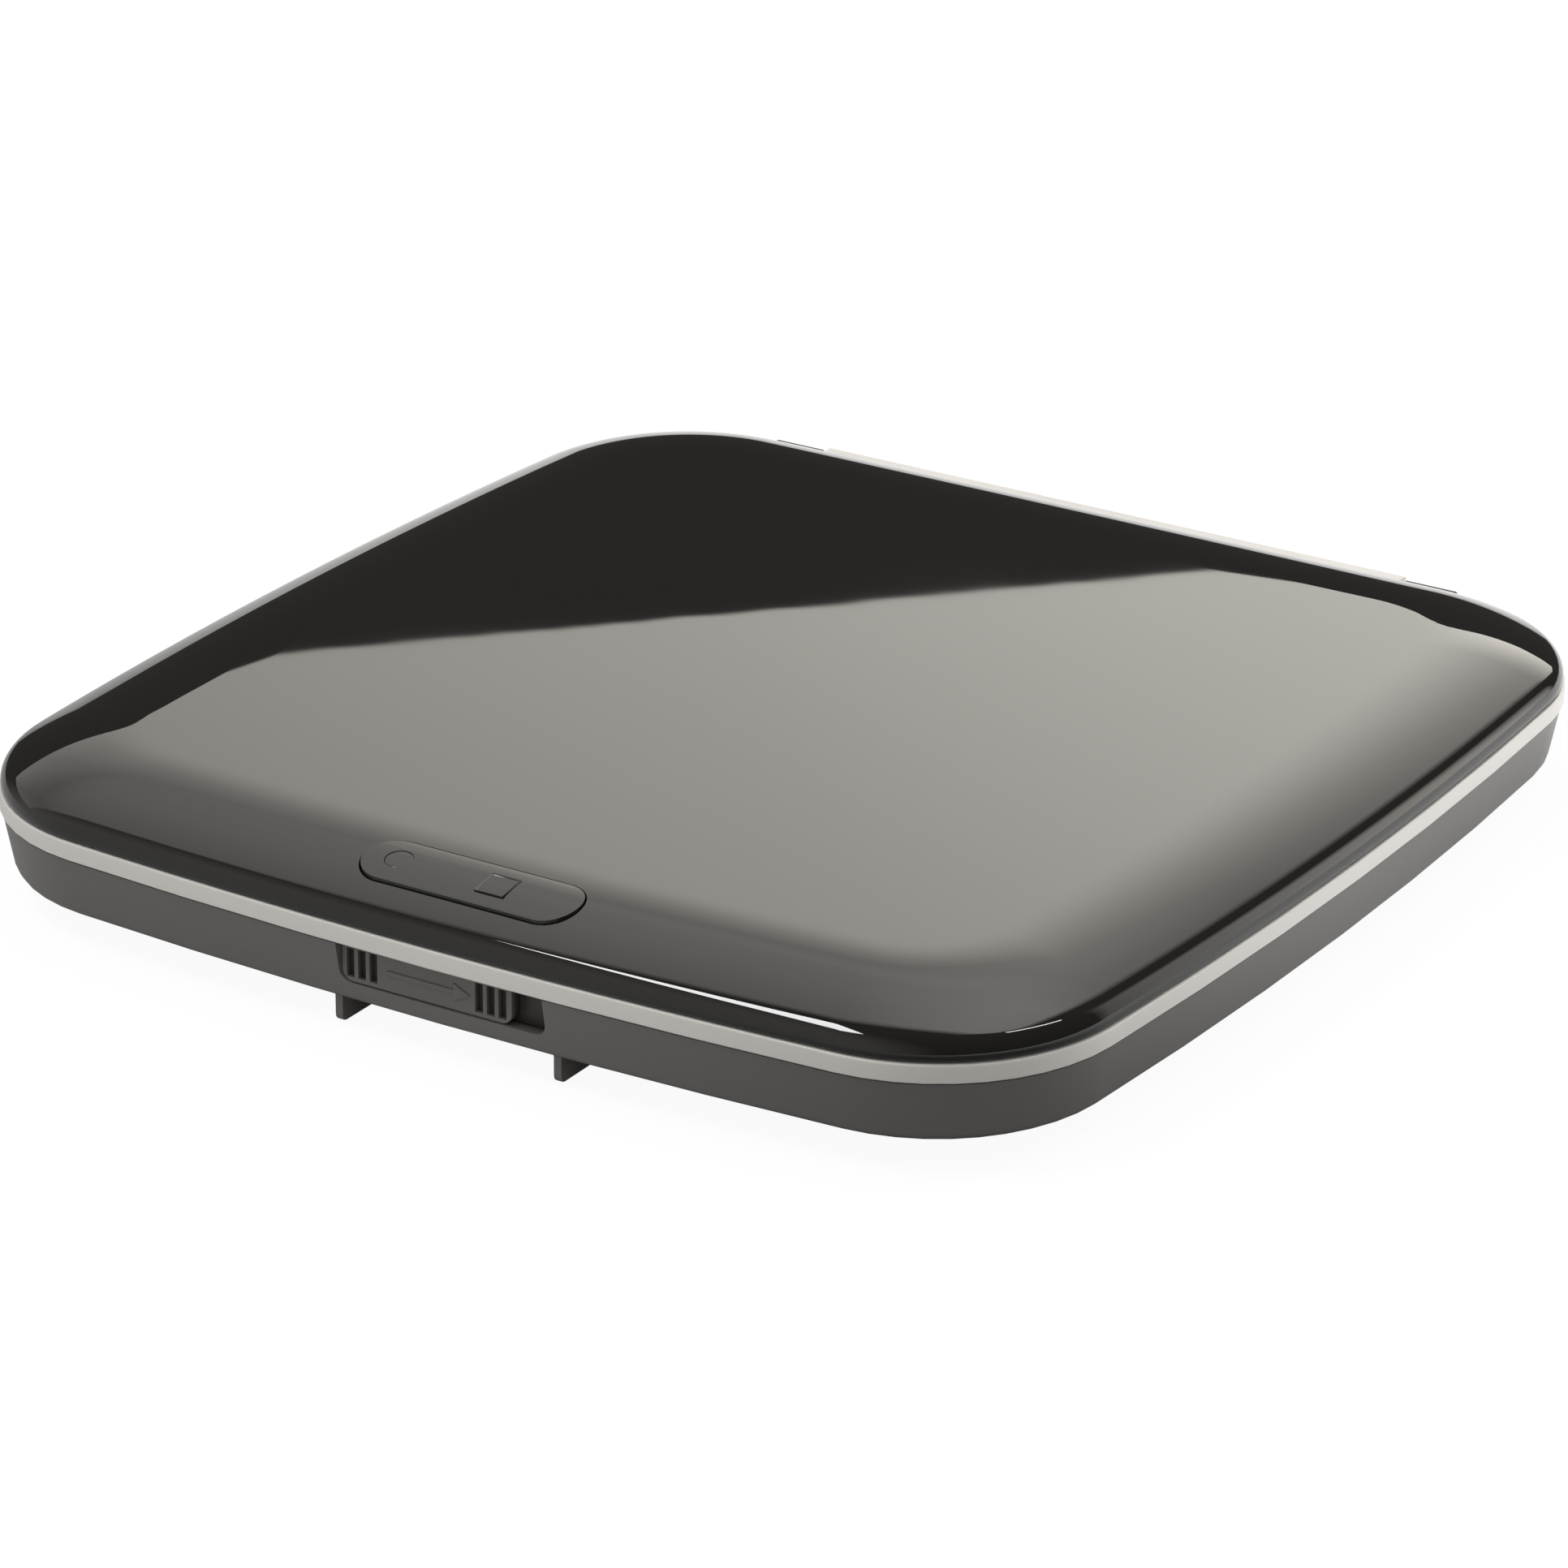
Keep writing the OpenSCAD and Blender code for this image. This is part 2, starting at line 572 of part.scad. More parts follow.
// Rotor cup, flange, shaft and disc hub in one turning piece
module turntable() {
  z = disc_z - 0.3;
  cup = table_r - 2.4;
  color([0.35, 0.35, 0.36]) translate([0, spin_y, 0]) difference() {
    rotate_extrude() polygon([[0, floor_z + 1.2], [1, floor_z + 1.2], [1, plate_z + 2.2],
      [cup - 0.8, plate_z + 2.2], [cup - 0.8, plate_z + 0.3], [cup, plate_z + 0.3],
      [cup, z - 1.3], [table_r, z - 1], [table_r, z], [hub_r + 1.1, z], [hub_r + 1.1, z + 0.3],
      [hub_r, z + 0.3], [hub_r, z + 1.6],
      [hub_r - 0.5, z + 2.5], [hub_r - 1.6, z + 3.2], [0, z + 3.2]]);
    for (a = [90, 210, 330]) rotate(a) translate([4.2, -1.7, z + 1.5]) cube([6, 3.4, 1.1]);
  }
}

module turntable_pad() {
  color([0.06, 0.06, 0.06]) translate([0, spin_y, disc_z - 0.3]) difference() {
    cylinder(r = table_r - 0.2, h = 0.3);
    translate([0, 0, -1]) cylinder(r = hub_r + 1.2, h = 3);
  }
}

// Sprung chuck lug at angle a round the hub
module chuck_lug(a) {
  z = disc_z + 1.25;
  color([0.8, 0.8, 0.78]) translate([0, spin_y, 0]) rotate(a) rotate([90, 0, 0])
    translate([0, 0, -1.6]) linear_extrude(3.2) polygon([[5, z], [hub_r - 0.1, z],
      [hub_r + lug_out, z + 0.4], [hub_r - 0.3, z + 0.95], [5, z + 0.95]]);
}

module chuck_lug_1() { chuck_lug(90); }
module chuck_lug_2() { chuck_lug(210); }
module chuck_lug_3() { chuck_lug(330); }

module sled_motor() {
  color([0.68, 0.68, 0.7]) difference() {
    bar(-17, -5.05, spin_y + screw_y, screw_z, 2.15);
    bar(-18, -4, spin_y + screw_y, screw_z, screw_r + rod_gap);
  }
}

module lead_screw() {
  color([0.75, 0.75, 0.76]) bar(-15, stop_x + 2, spin_y + screw_y, screw_z, screw_r);
}

// Carriage on the two rods, with the optics block standing in the plate window
module pickup_sled() {
  z0 = floor_z + 0.15;
  z1 = plate_z - 0.15;
  color([0.55, 0.56, 0.58]) difference() {
    union() {
      block([sled_x0, spin_y - 18, z0], [sled_x1, spin_y + 18, z1]);
      block([5, spin_y + 14.2, z0], [sled_x0 + 1, spin_y + 18, z1]);
      block([sled_x0 + 1.2, spin_y - 11.5, z1 - 0.5], [sled_x1 - 0.6, spin_y + 11.5, plate_z + 1.6]);
    }
    bar(0, sled_x1 + 5, spin_y + rod_y, rod_z, rod_r + rod_gap);
    bar(0, sled_x1 + 5, spin_y - rod_y, rod_z, rod_r + rod_gap);
    block([0, spin_y - 20, rod_z - rod_r - rod_gap], [sled_x1 + 5, spin_y - rod_y, rod_z + rod_r + rod_gap]);
    block([0, spin_y - 5.6, 0], [sled_x1 + 5, spin_y + 5.6, floor_z + 0.8]);
    post(0, spin_y, table_r + 0.4, 0, 20);
    block([lens_in - 4.6, spin_y - 4.6, plate_z], [lens_in + 4.6, spin_y + 4.6, 20]);
  }
}

// Follower on the lead screw, clipped to the side of the sled
module sled_nut() {
  z0 = floor_z + 0.35;
  color([0.85, 0.85, 0.82]) difference() {
    union() {
      block([sled_x0 + 1, spin_y + 18, z0], [sled_x0 + 6, spin_y + screw_y - 1, plate_z - 0.3]);
      block([sled_x0 + 1, spin_y + screw_y - 2, z0], [sled_x0 + 6, spin_y + screw_y + 2, screw_z + 1.8]);
    }
    bar(0, 60, spin_y + screw_y, screw_z, screw_r + 0.2);
  }
}

module lens_holder() {
  z0 = plate_z + 0.5;
  color([0.1, 0.1, 0.11]) difference() {
    block([lens_in - 3.6, spin_y - 4, z0], [lens_in + 3.6, spin_y + 4, disc_z - 1.1]);
    post(lens_in, spin_y, 2.2, disc_z - 2, 20);
  }
}

module objective_lens() {
  color([0.6, 0.75, 0.85]) translate([lens_in, spin_y, 0]) rotate_extrude()
    polygon([[0, disc_z - 2], [2.2, disc_z - 2], [2.2, disc_z - 1.2], [1.8, disc_z - 1.1],
      [1.2, disc_z - 0.9], [0, disc_z - 0.8]]);
}

module lid_shell() {
  ins = [20.75, 16, 11.5, 7.5, 4.5, 2.4];
  ups = [1, 2.5, 4.5, 7, 10, 13, 16.5, 20];
  color([0.05, 0.05, 0.05]) difference() {
    union() {
      loft(concat(
        [for (i = ins) [i, dome(i) - lid_t]],
        [[1.75, lid_z + 0.4], [1.7, lid_z], [0.35, lid_z], [0.2, lid_z + 0.2]],
        [for (t = [0 : 0.2 : 1]) let (a = t * (90 - lean))
          [0.2 + lid_round * (1 - cos(a)), wall_top + lid_round * sin(a)]],
        [for (u = ups) [dome_in + u * dome_zone / 20, dome(dome_in + u * dome_zone / 20)]]), k = 0.75);
      block([-notch_w / 2 - 1, notch_y - 1.2, lid_z + 0.05],
        [notch_w / 2 + 1, notch_y, dome(rear_y - notch_y) - 0.6]);
      for (x = [-panel_x, panel_x], y = [-panel_y, panel_y])
        post(x, y, 2.2, panel_z + panel_t, dome(dome_zone + dome_in) - lid_t + 0.3);
    }
    for (x = [-panel_x, panel_x], y = [-panel_y, panel_y]) post(x, y, 0.82, 0, panel_z + panel_t + 1.4);
    block([-notch_w / 2, notch_y, 0], [notch_w / 2, rear_y + 5, 40]);
    along_x(-half_w, half_w, [[hinge_y + 0.45, lid_z - 1], [hinge_y + 0.68, lid_z],
      [hinge_y + 1.72, hinge_z + 1.6], [hinge_y + 9, hinge_z + 1.6], [hinge_y + 9, lid_z - 1]]);
    for (s = [-1, 1]) block([s * (notch_w / 2 - 3.3) - 3.5, notch_y - 3, 0],
      [s * (notch_w / 2 - 3.3) + 3.5, rear_y, lid_z + 1.7]);
    translate([button_x, button_y, lid_z]) linear_extrude(20)
      stadium(button_l + 2 * button_gap, button_w + 2 * button_gap);
  }
}

// Flat inner panel of the lid, hung over the disc, with a bay for the button
module lid_liner() {
  color([0.1, 0.1, 0.1]) difference() {
    slab(panel_in, panel_z, panel_z + panel_t);
    block([button_x - button_l / 2 - 2.5, front_y, 0],
      [button_x + button_l / 2 + 3.8, front_y + 11.5, panel_z + 5]);
    translate([0, spin_y, panel_z - 1]) difference() {
      cylinder(r = well_r - 11, h = 1.3, $fn = 96);
      cylinder(r = well_r - 11.8, h = 1.3, $fn = 96);
    }
    for (x = [-panel_x, panel_x], y = [-panel_y, panel_y]) post(x, y, 0.82, 0, panel_z + 5);
  }
}

module panel_screws() {
  color([0.6, 0.6, 0.62]) for (x = [-panel_x, panel_x], y = [-panel_y, panel_y]) {
    difference() {
      post(x, y, 1.7, panel_z - 0.6, panel_z);
      translate([x - 1, y - 0.2, panel_z - 1]) cube([2, 0.4, 0.7]);
      translate([x - 0.2, y - 1, panel_z - 1]) cube([0.4, 2, 0.7]);
    }
    post(x, y, 0.8, panel_z - 0.1, panel_z + panel_t + 1.2);
  }
}

// Two brackets under the panel, each with a knuckle that turns on a hinge pin
module hinge_arms() {
  z = lid_z + 0.05;
  color([0.1, 0.1, 0.1]) difference() {
    for (x = [-knuckle_x, knuckle_x]) {
      bar(x - 3.2, x + 3.2, hinge_y, hinge_z, knuckle_r);
      block([x - 3.2, rear_y - 13, z], [x + 3.2, hinge_y, z + 1.3]);
      block([x - 3.2, rear_y - 13, z], [x + 3.2, rear_y - 8.2, panel_z]);
    }
    for (s = [-1, 1]) bar(s * notch_w / 2 - 9, s * notch_w / 2 + 9, hinge_y, hinge_z, pin_r + pin_gap);
  }
}

// Hook that drops through the deck behind the slide, on an arm under the panel
module latch_hook() {
  z = panel_z - 1.7;
  color([0.1, 0.1, 0.1]) {
    block([hook_x, hook_y - 0.6, part_z - 2.5], [hook_x + 3, hook_y + 0.6, z + 0.4]);
    block([hook_x, hook_y - 0.6, part_z - 2.5], [hook_x + 4.6, hook_y + 0.6, part_z - 1.7]);
    block([hook_x - 1.5, hook_y - 0.6, z], [hook_x + 4.5, front_y + 14, z + 0.8]);
    block([hook_x - 1.5, front_y + 11.7, z], [hook_x + 4.5, front_y + 14, panel_z]);
  }
}

// Peg that holds the lid switch down while the lid is shut
module lid_switch_peg() {
  color([0.1, 0.1, 0.1]) {
    post(lidsw_x, lidsw_y, 1, lid_z + 0.25, panel_z - 0.5);
    block([lidsw_x - 1.2, lidsw_y - 1, panel_z - 0.7], [lidsw_x + 1.2, lidsw_y + 3.2, panel_z]);
  }
}

// Cap that follows the lid slope, with end tabs under the shell and a push leg
module stop_button() {
  color([0.06, 0.06, 0.06]) difference() {
    union() {
      difference() {
        intersection() {
          translate([button_x, button_y, lid_z]) linear_extrude(20) stadium(button_l, button_w);
          under_slope(0.3);
        }
        under_slope(-lid_t - 0.4);
      }
      difference() {
        intersection() {
          translate([button_x, button_y, lid_z]) linear_extrude(20)
            for (s = [-1, 1]) translate([s * (button_l / 2 - 0.4), 0]) square([3.2, 2.4], center = true);
          under_slope(-lid_t - 0.3);
        }
        under_slope(-lid_t - 1.1);
      }
      difference() {
        post(press_x, press_y, 1, deck_z + 0.02, lid_z + 20);
        difference() {
          block([press_x - 3, press_y - 3, lid_z], [press_x + 3, press_y + 3, lid_z + 30]);
          under_slope(-lid_t - 0.3);
        }
      }
    }
    post(led_x, button_y, led_d / 2 + 0.03, 0, 40);
  }
}

module led_window() {
  color([0.3, 0.32, 0.33]) intersection() {
    post(led_x, button_y, led_d / 2, dome(button_y - front_y) - lid_t - 0.3, 40);
    under_slope(0.25);
  }
}

base_shell();
rubber_feet();
case_screws();
trim_frame();
disc_deck();
hinge_pins();
open_slider();
slider_spring();
main_board();
board_chips();
ribbon_connector();
usb_socket();
usb_tongue();
switch_board();
stop_switch();
stop_switch_plunger();
lid_switch();
lid_switch_pin();
status_led();
pickup_ribbon();
traverse_plate();
rubber_dampers();
damper_screws();
guide_rods();
spindle_motor();
turntable();
turntable_pad();
chuck_lug_1();
chuck_lug_2();
chuck_lug_3();
sled_motor();
lead_screw();
pickup_sled();
sled_nut();
lens_holder();
objective_lens();
lid_shell();
lid_liner();
panel_screws();
hinge_arms();
latch_hook();
lid_switch_peg();
stop_button();
led_window();
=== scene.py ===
# %% [markdown]
# A small top-loading disc drive: a dark base, a thin silver band, and a gloss black lid that
# swings up on a hinge at the back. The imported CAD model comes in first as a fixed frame. Its
# pieces could be used as they are, but a gloss lid shows every flat facet and every knife edge,
# so the outer pieces are dressed here and the rest get their finishes.

# %% Load the frame
import math

import bmesh
import bpy
from mathutils import Matrix, Vector


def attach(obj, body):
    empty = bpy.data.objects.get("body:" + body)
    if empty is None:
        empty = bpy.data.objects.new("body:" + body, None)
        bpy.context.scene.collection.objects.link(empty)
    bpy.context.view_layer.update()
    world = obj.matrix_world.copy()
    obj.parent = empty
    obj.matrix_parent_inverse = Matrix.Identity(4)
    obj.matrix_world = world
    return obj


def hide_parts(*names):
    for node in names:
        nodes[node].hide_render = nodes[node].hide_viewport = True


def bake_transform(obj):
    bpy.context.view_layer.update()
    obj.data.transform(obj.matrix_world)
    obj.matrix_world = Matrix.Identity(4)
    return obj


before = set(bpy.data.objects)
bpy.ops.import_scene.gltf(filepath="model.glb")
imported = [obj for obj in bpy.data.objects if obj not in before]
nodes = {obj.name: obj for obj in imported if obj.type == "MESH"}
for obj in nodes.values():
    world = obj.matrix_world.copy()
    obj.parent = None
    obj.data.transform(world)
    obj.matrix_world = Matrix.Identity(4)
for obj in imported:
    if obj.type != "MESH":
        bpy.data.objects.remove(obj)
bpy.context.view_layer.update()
MM = 0.001

# %% [markdown]
# The picture was taken from the front right, a little above the lid, with a long lens. A camera
# could be turned by hand until it looks right. Here its place comes from fitting the case outline,
# so the numbers are simply written down: the lens and its small shift, the distance, two angles
# and a slight roll.

# %% Camera
azimuth = math.radians(31.578)
elevation = math.radians(23.531)
roll = math.radians(0.635)
camera_away = 738.944 * MM
back = Vector((
    math.sin(azimuth) * math.cos(elevation),
    -math.cos(azimuth) * math.cos(elevation),
    math.sin(elevation),
))
level_right = (-back).cross(Vector((0, 0, 1))).normalized()
level_up = level_right.cross(-back)
camera_right = math.cos(roll) * level_right + math.sin(roll) * level_up
camera_up = math.cos(roll) * level_up - math.sin(roll) * level_right
camera_data = bpy.data.cameras.new("front_right_camera")
camera_data.lens = 151.583
camera_data.sensor_width = 36
camera_data.shift_x = -0.0069
camera_data.shift_y = 0.02842
camera_data.clip_start = 0.01
camera = bpy.data.objects.new("front_right_camera", camera_data)
turn = Matrix((camera_right, camera_up, back)).transposed().to_4x4()
camera.matrix_world = Matrix.Translation(back * camera_away) @ turn
bpy.context.scene.collection.objects.link(camera)
bpy.context.scene.camera = camera
print("camera at", [round(v, 3) for v in camera.location], "lens", camera_data.lens)

# %% [markdown]
# Two surface effects come back in many finishes. The first is the fine grain of moulded plastic,
# which breaks up its highlight, with a slow drift in tone. Each effect is a node group that is
# built once, reads Object coordinates in metres, and gives out only values, so a material can
# decide what they change.

# %% Grain group
def add_sockets(group, inputs, outputs):
    for name, value in inputs:
        socket = group.interface.new_socket(name, in_out="INPUT", socket_type="NodeSocketFloat")
        socket.default_value = value
    for name in outputs:
        group.interface.new_socket(name, in_out="OUTPUT", socket_type="NodeSocketFloat")


grain_group = bpy.data.node_groups.new("moulded_grain", "ShaderNodeTree")
add_sockets(grain_group, [("Grain Scale", 3000.0), ("Drift Scale", 40.0)], ["Height", "Drift"])
grain_in = grain_group.nodes.new("NodeGroupInput")
grain_out = grain_group.nodes.new("NodeGroupOutput")
grain_place = grain_group.nodes.new("ShaderNodeTexCoord")
grain_noise = grain_group.nodes.new("ShaderNodeTexNoise")
grain_noise.inputs["Detail"].default_value = 2.0
drift_noise = grain_group.nodes.new("ShaderNodeTexNoise")
drift_noise.inputs["Detail"].default_value = 4.0
wire = grain_group.links.new
wire(grain_place.outputs["Object"], grain_noise.inputs["Vector"])
wire(grain_place.outputs["Object"], drift_noise.inputs["Vector"])
wire(grain_in.outputs["Grain Scale"], grain_noise.inputs["Scale"])
wire(grain_in.outputs["Drift Scale"], drift_noise.inputs["Scale"])
wire(grain_noise.outputs["Fac"], grain_out.inputs["Height"])
wire(drift_noise.outputs["Fac"], grain_out.inputs["Drift"])
print("grain group nodes:", len(grain_group.nodes))

# %% [markdown]
# The second effect is for drawn and rolled metal, which has streaks along its length. One noise is
# enough, if its coordinates are stretched far more across the streaks than along them.

# %% Streak group
streak_group = bpy.data.node_groups.new("drawn_streaks", "ShaderNodeTree")
add_sockets(streak_group, [("Along X", 60.0), ("Across", 6000.0)], ["Height", "Streak"])
streak_in = streak_group.nodes.new("NodeGroupInput")
streak_out = streak_group.nodes.new("NodeGroupOutput")
streak_place = streak_group.nodes.new("ShaderNodeTexCoord")
streak_size = streak_group.nodes.new("ShaderNodeCombineXYZ")
streak_stretch = streak_group.nodes.new("ShaderNodeVectorMath")
streak_stretch.operation = "MULTIPLY"
streak_noise = streak_group.nodes.new("ShaderNodeTexNoise")
streak_noise.inputs["Scale"].default_value = 1.0
streak_noise.inputs["Detail"].default_value = 3.0
wire = streak_group.links.new
wire(streak_in.outputs["Along X"], streak_size.inputs["X"])
wire(streak_in.outputs["Across"], streak_size.inputs["Y"])
wire(streak_in.outputs["Across"], streak_size.inputs["Z"])
wire(streak_place.outputs["Object"], streak_stretch.inputs[0])
wire(streak_size.outputs["Vector"], streak_stretch.inputs[1])
wire(streak_stretch.outputs["Vector"], streak_noise.inputs["Vector"])
wire(streak_noise.outputs["Fac"], streak_out.inputs["Height"])
wire(streak_noise.outputs["Fac"], streak_out.inputs["Streak"])
print("streak group nodes:", len(streak_group.nodes))

# %% [markdown]
# A finish is a Principled BSDF fed by one of the groups. The slow drift or the streaks mix two
# close colours and move the roughness a little, and the fine height goes through a Bump node.
# Plain numbers that are the same all over stay on the shader's own sockets.

# %% Finish builder
NOISE_LOW = 0.3
NOISE_HIGH = 0.7


def ranged(tree, value, low, high, bottom, top):
    node = tree.nodes.new("ShaderNodeMapRange")
    node.inputs["From Min"].default_value = low
    node.inputs["From Max"].default_value = high
    node.inputs["To Min"].default_value = bottom
    node.inputs["To Max"].default_value = top
    tree.links.new(value, node.inputs["Value"])
    return node.outputs["Result"]


def finish(name, light, dark, rough, bump, group, values, **sockets):
    material = bpy.data.materials.new(name)
    material.use_nodes = True
    tree = material.node_tree
    shader = tree.nodes["Principled BSDF"]
    effect = tree.nodes.new("ShaderNodeGroup")
    effect.node_tree = group
    for socket, value in values.items():
        effect.inputs[socket].default_value = value
    tone = tree.nodes.new("ShaderNodeMix")
    tone.data_type = "RGBA"
    tone.inputs["A"].default_value = (*dark, 1)
    tone.inputs["B"].default_value = (*light, 1)
    relief = tree.nodes.new("ShaderNodeBump")
    relief.inputs["Strength"].default_value = bump[0]
    relief.inputs["Distance"].default_value = bump[1]
    spread = ranged(tree, effect.outputs[1], NOISE_LOW, NOISE_HIGH, rough[0], rough[1])
    join = tree.links.new
    join(effect.outputs[1], tone.inputs["Factor"])
    join(effect.outputs["Height"], relief.inputs["Height"])
    join(tone.outputs["Result"], shader.inputs["Base Color"])
    join(spread, shader.inputs["Roughness"])
    join(relief.outputs["Normal"], shader.inputs["Normal"])
    for socket, value in sockets.items():
        shader.inputs[socket.replace("_", " ")].default_value = value
    return material


def moulded(name, colour, rough, bump=(0.15, 0.00002), grain=3000.0, drift=0.08, **sockets):
    light = [min(1, c * (1 + drift)) for c in colour]
    dark = [c * (1 - drift) for c in colour]
    return finish(name, light, dark, rough, bump, grain_group, {"Grain Scale": grain}, **sockets)


def drawn(name, colour, rough, bump=(0.1, 0.00001), along=60.0, across=6000.0, **sockets):
    light = [min(1, c * 1.08) for c in colour]
    dark = [c * 0.9 for c in colour]
    values = {"Along X": along, "Across": across}
    return finish(name, light, dark, rough, bump, streak_group, values, Metallic=1.0, **sockets)


print("finish helpers ready")

# %% [markdown]
# Outside there are six finishes: gloss black on the lid, a slightly softer black on the button,
# satin dark grey on the base, silver paint on the band, another satin grey on the slide, and black
# rubber on the feet. Gloss plastic is almost a mirror, so it keeps only the faintest waviness.

# %% Outer finishes
gloss_black = moulded("gloss_black", (0.011, 0.0105, 0.0100), (0.008, 0.014), (1.0, 0.000004), 40.0,
    Specular_IOR_Level=0.5, IOR=1.5)
button_black = moulded("button_black", (0.012, 0.0115, 0.0110), (0.05, 0.09), (0.02, 0.000002), 900.0,
    IOR=1.5)
base_grey = moulded("base_grey", (0.105, 0.1, 0.094), (0.36, 0.46), (0.25, 0.00002), 4200.0,
    Specular_IOR_Level=0.75)
silver_paint = moulded("silver_paint", (0.62, 0.603, 0.577), (0.34, 0.44), (0.15, 0.00001), 7000.0,
    0.04, Metallic=0.25)
slide_grey_painted_shade = moulded("slide_grey_painted_shade", (0.11, 0.104, 0.098), (0.36, 0.46), (0.2, 0.00002), 4200.0)
foot_rubber = moulded("foot_rubber", (0.02, 0.02, 0.02), (0.7, 0.85), (0.4, 0.00004), 2500.0)
print("outer finishes made")

# %% [markdown]
# Beside the grip, the window of the slide shows the plate behind it, which lies in shade and looks much
# darker than the grip. That shade is painted into the slide's finish: the Y of the Object coordinates
# scales the base colour down between the grip's face and the plate.

# %% Painted shade in the slide's window
GRIP_DEPTH = -70.3 * MM
PLATE_DEPTH = -69.5 * MM
PLATE_PAINTED_SHADE = 0.3
slide_tree = slide_grey_painted_shade.node_tree
slide_place = slide_tree.nodes.new("ShaderNodeTexCoord")
slide_split = slide_tree.nodes.new("ShaderNodeSeparateXYZ")
slide_painted_shade = slide_tree.nodes.new("ShaderNodeVectorMath")
slide_painted_shade.operation = "SCALE"
slide_colour = slide_tree.nodes["Principled BSDF"].inputs["Base Color"]
wire = slide_tree.links.new
wire(slide_place.outputs["Object"], slide_split.inputs["Vector"])
# Painted shade: the base colour darkens to 0.3 of itself from the grip's face back to the plate.
painted_shade_by_depth = ranged(slide_tree, slide_split.outputs["Y"], GRIP_DEPTH, PLATE_DEPTH, 1.0, PLATE_PAINTED_SHADE)
wire(painted_shade_by_depth, slide_painted_shade.inputs["Scale"])
wire(slide_colour.links[0].from_socket, slide_painted_shade.inputs[0])
wire(slide_painted_shade.outputs["Vector"], slide_colour)
print("slide finish nodes:", len(slide_tree.nodes))

# %% [markdown]
# Under the lid there are matte black mouldings, bright and rolled steel, cast alloy, bare boards
# and a little glass. They show when the lid is up, so each gets its own finish as well. The dark
# window of the indicator belongs to the button outside, but it is made here with the other glass.

# %% Inner finishes
deck_black = moulded("deck_black", (0.021, 0.021, 0.022), (0.5, 0.6), (0.35, 0.00003), 3600.0)
liner_black = moulded("liner_black", (0.018, 0.018, 0.018), (0.42, 0.52), (0.3, 0.00003), 3600.0)
ivory_plastic = moulded("ivory_plastic", (0.62, 0.59, 0.5), (0.4, 0.5))
pale_plastic = moulded("pale_plastic", (0.66, 0.65, 0.61), (0.35, 0.45))
chip_black = moulded("chip_black", (0.02, 0.02, 0.021), (0.5, 0.6), (0.3, 0.00002))
pad_rubber = moulded("pad_rubber", (0.015, 0.015, 0.016), (0.75, 0.9), (0.4, 0.00004), 2500.0)
bright_steel = drawn("bright_steel", (0.62, 0.62, 0.63), (0.12, 0.2))
rolled_steel = drawn("rolled_steel", (0.5, 0.5, 0.5), (0.3, 0.42), (0.2, 0.00001))
plated_steel = drawn("plated_steel", (0.6, 0.6, 0.6), (0.22, 0.32))
rotor_metal = drawn("rotor_metal", (0.3, 0.3, 0.31), (0.3, 0.4))
winding_copper = drawn("winding_copper", (0.45, 0.22, 0.1), (0.3, 0.42), (0.3, 0.00003), 4000.0, 4000.0)
cast_alloy = moulded("cast_alloy", (0.4, 0.41, 0.42), (0.4, 0.55), (0.4, 0.00005), 1800.0, Metallic=0.9)
board_green = moulded("board_green", (0.015, 0.09, 0.04), (0.3, 0.4), (0.2, 0.00002), 900.0, 0.2)
lens_glass = moulded("lens_glass", (0.5, 0.66, 0.82), (0.02, 0.04), (0.01, 0.000001),
    Transmission_Weight=0.6, IOR=1.5)
led_clear = moulded("led_clear", (0.8, 0.82, 0.78), (0.08, 0.14), (0.02, 0.000002),
    Transmission_Weight=0.5)
smoke_window = moulded("smoke_window", (0.013, 0.0125, 0.012), (0.04, 0.08), (0.02, 0.000002), 900.0,
    IOR=1.5)
film_cream = moulded("film_cream", (0.6, 0.56, 0.44), (0.3, 0.4))
print("inner finishes made:", len(bpy.data.materials), "materials in all")

# %% [markdown]
# Every new piece ends the same way: its mesh becomes an object at the origin, smooth except at real
# corners, with a finish and a body to ride on, and the CAD node that it stands for is hidden. One
# helper does that.

# %% Placing a piece
SMOOTH_BELOW = math.radians(32)


def place(bm, name, material, body, stands_for=()):
    mesh = bpy.data.meshes.new(name)
    bm.to_mesh(mesh)
    bm.free()
    mesh.shade_smooth()
    mesh.set_sharp_from_angle(angle=SMOOTH_BELOW)
    mesh.materials.append(material)
    piece = bpy.data.objects.new(name, mesh)
    bpy.context.scene.collection.objects.link(piece)
    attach(piece, body)
    if stands_for:
        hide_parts(*stands_for)
    print(name, "faces", len(mesh.polygons), "on", body)
    return piece


# %% [markdown]
# The lid is one thin moulded shell. In plan it has four bowed sides that run into round corners,
# and its border climbs in a soft dome to a flat top. The CAD solid has that form with few facets.
# A subdivided cage would drift off the outline, so each ring of the shell is drawn by spinning one
# vertex along the eight arcs of the outline, and the rings are bridged from the inside out.

# %% Outline ring by spins
HALF_W = 70.0
FRONT_Y = -71.85
REAR_Y = 71.85
CORNER_R = 22.0
CORNER_SHARE = 0.75
BOWS = {"right": 683.0, "rear": 5000.0, "front": 648.0}
SIDE_STEPS = 14
CORNER_STEPS = 18


def where_arcs_meet(a, ra, b, rb):
    apart = b - a
    span = apart.length
    along = apart / span
    t = (ra * ra - rb * rb + span * span) / (2 * span)
    return a + along * t + math.sqrt(ra * ra - t * t) * Vector((-along.y, along.x))


def last_vertex(spun):
    return next(g for g in spun["geom_last"] if isinstance(g, bmesh.types.BMVert))


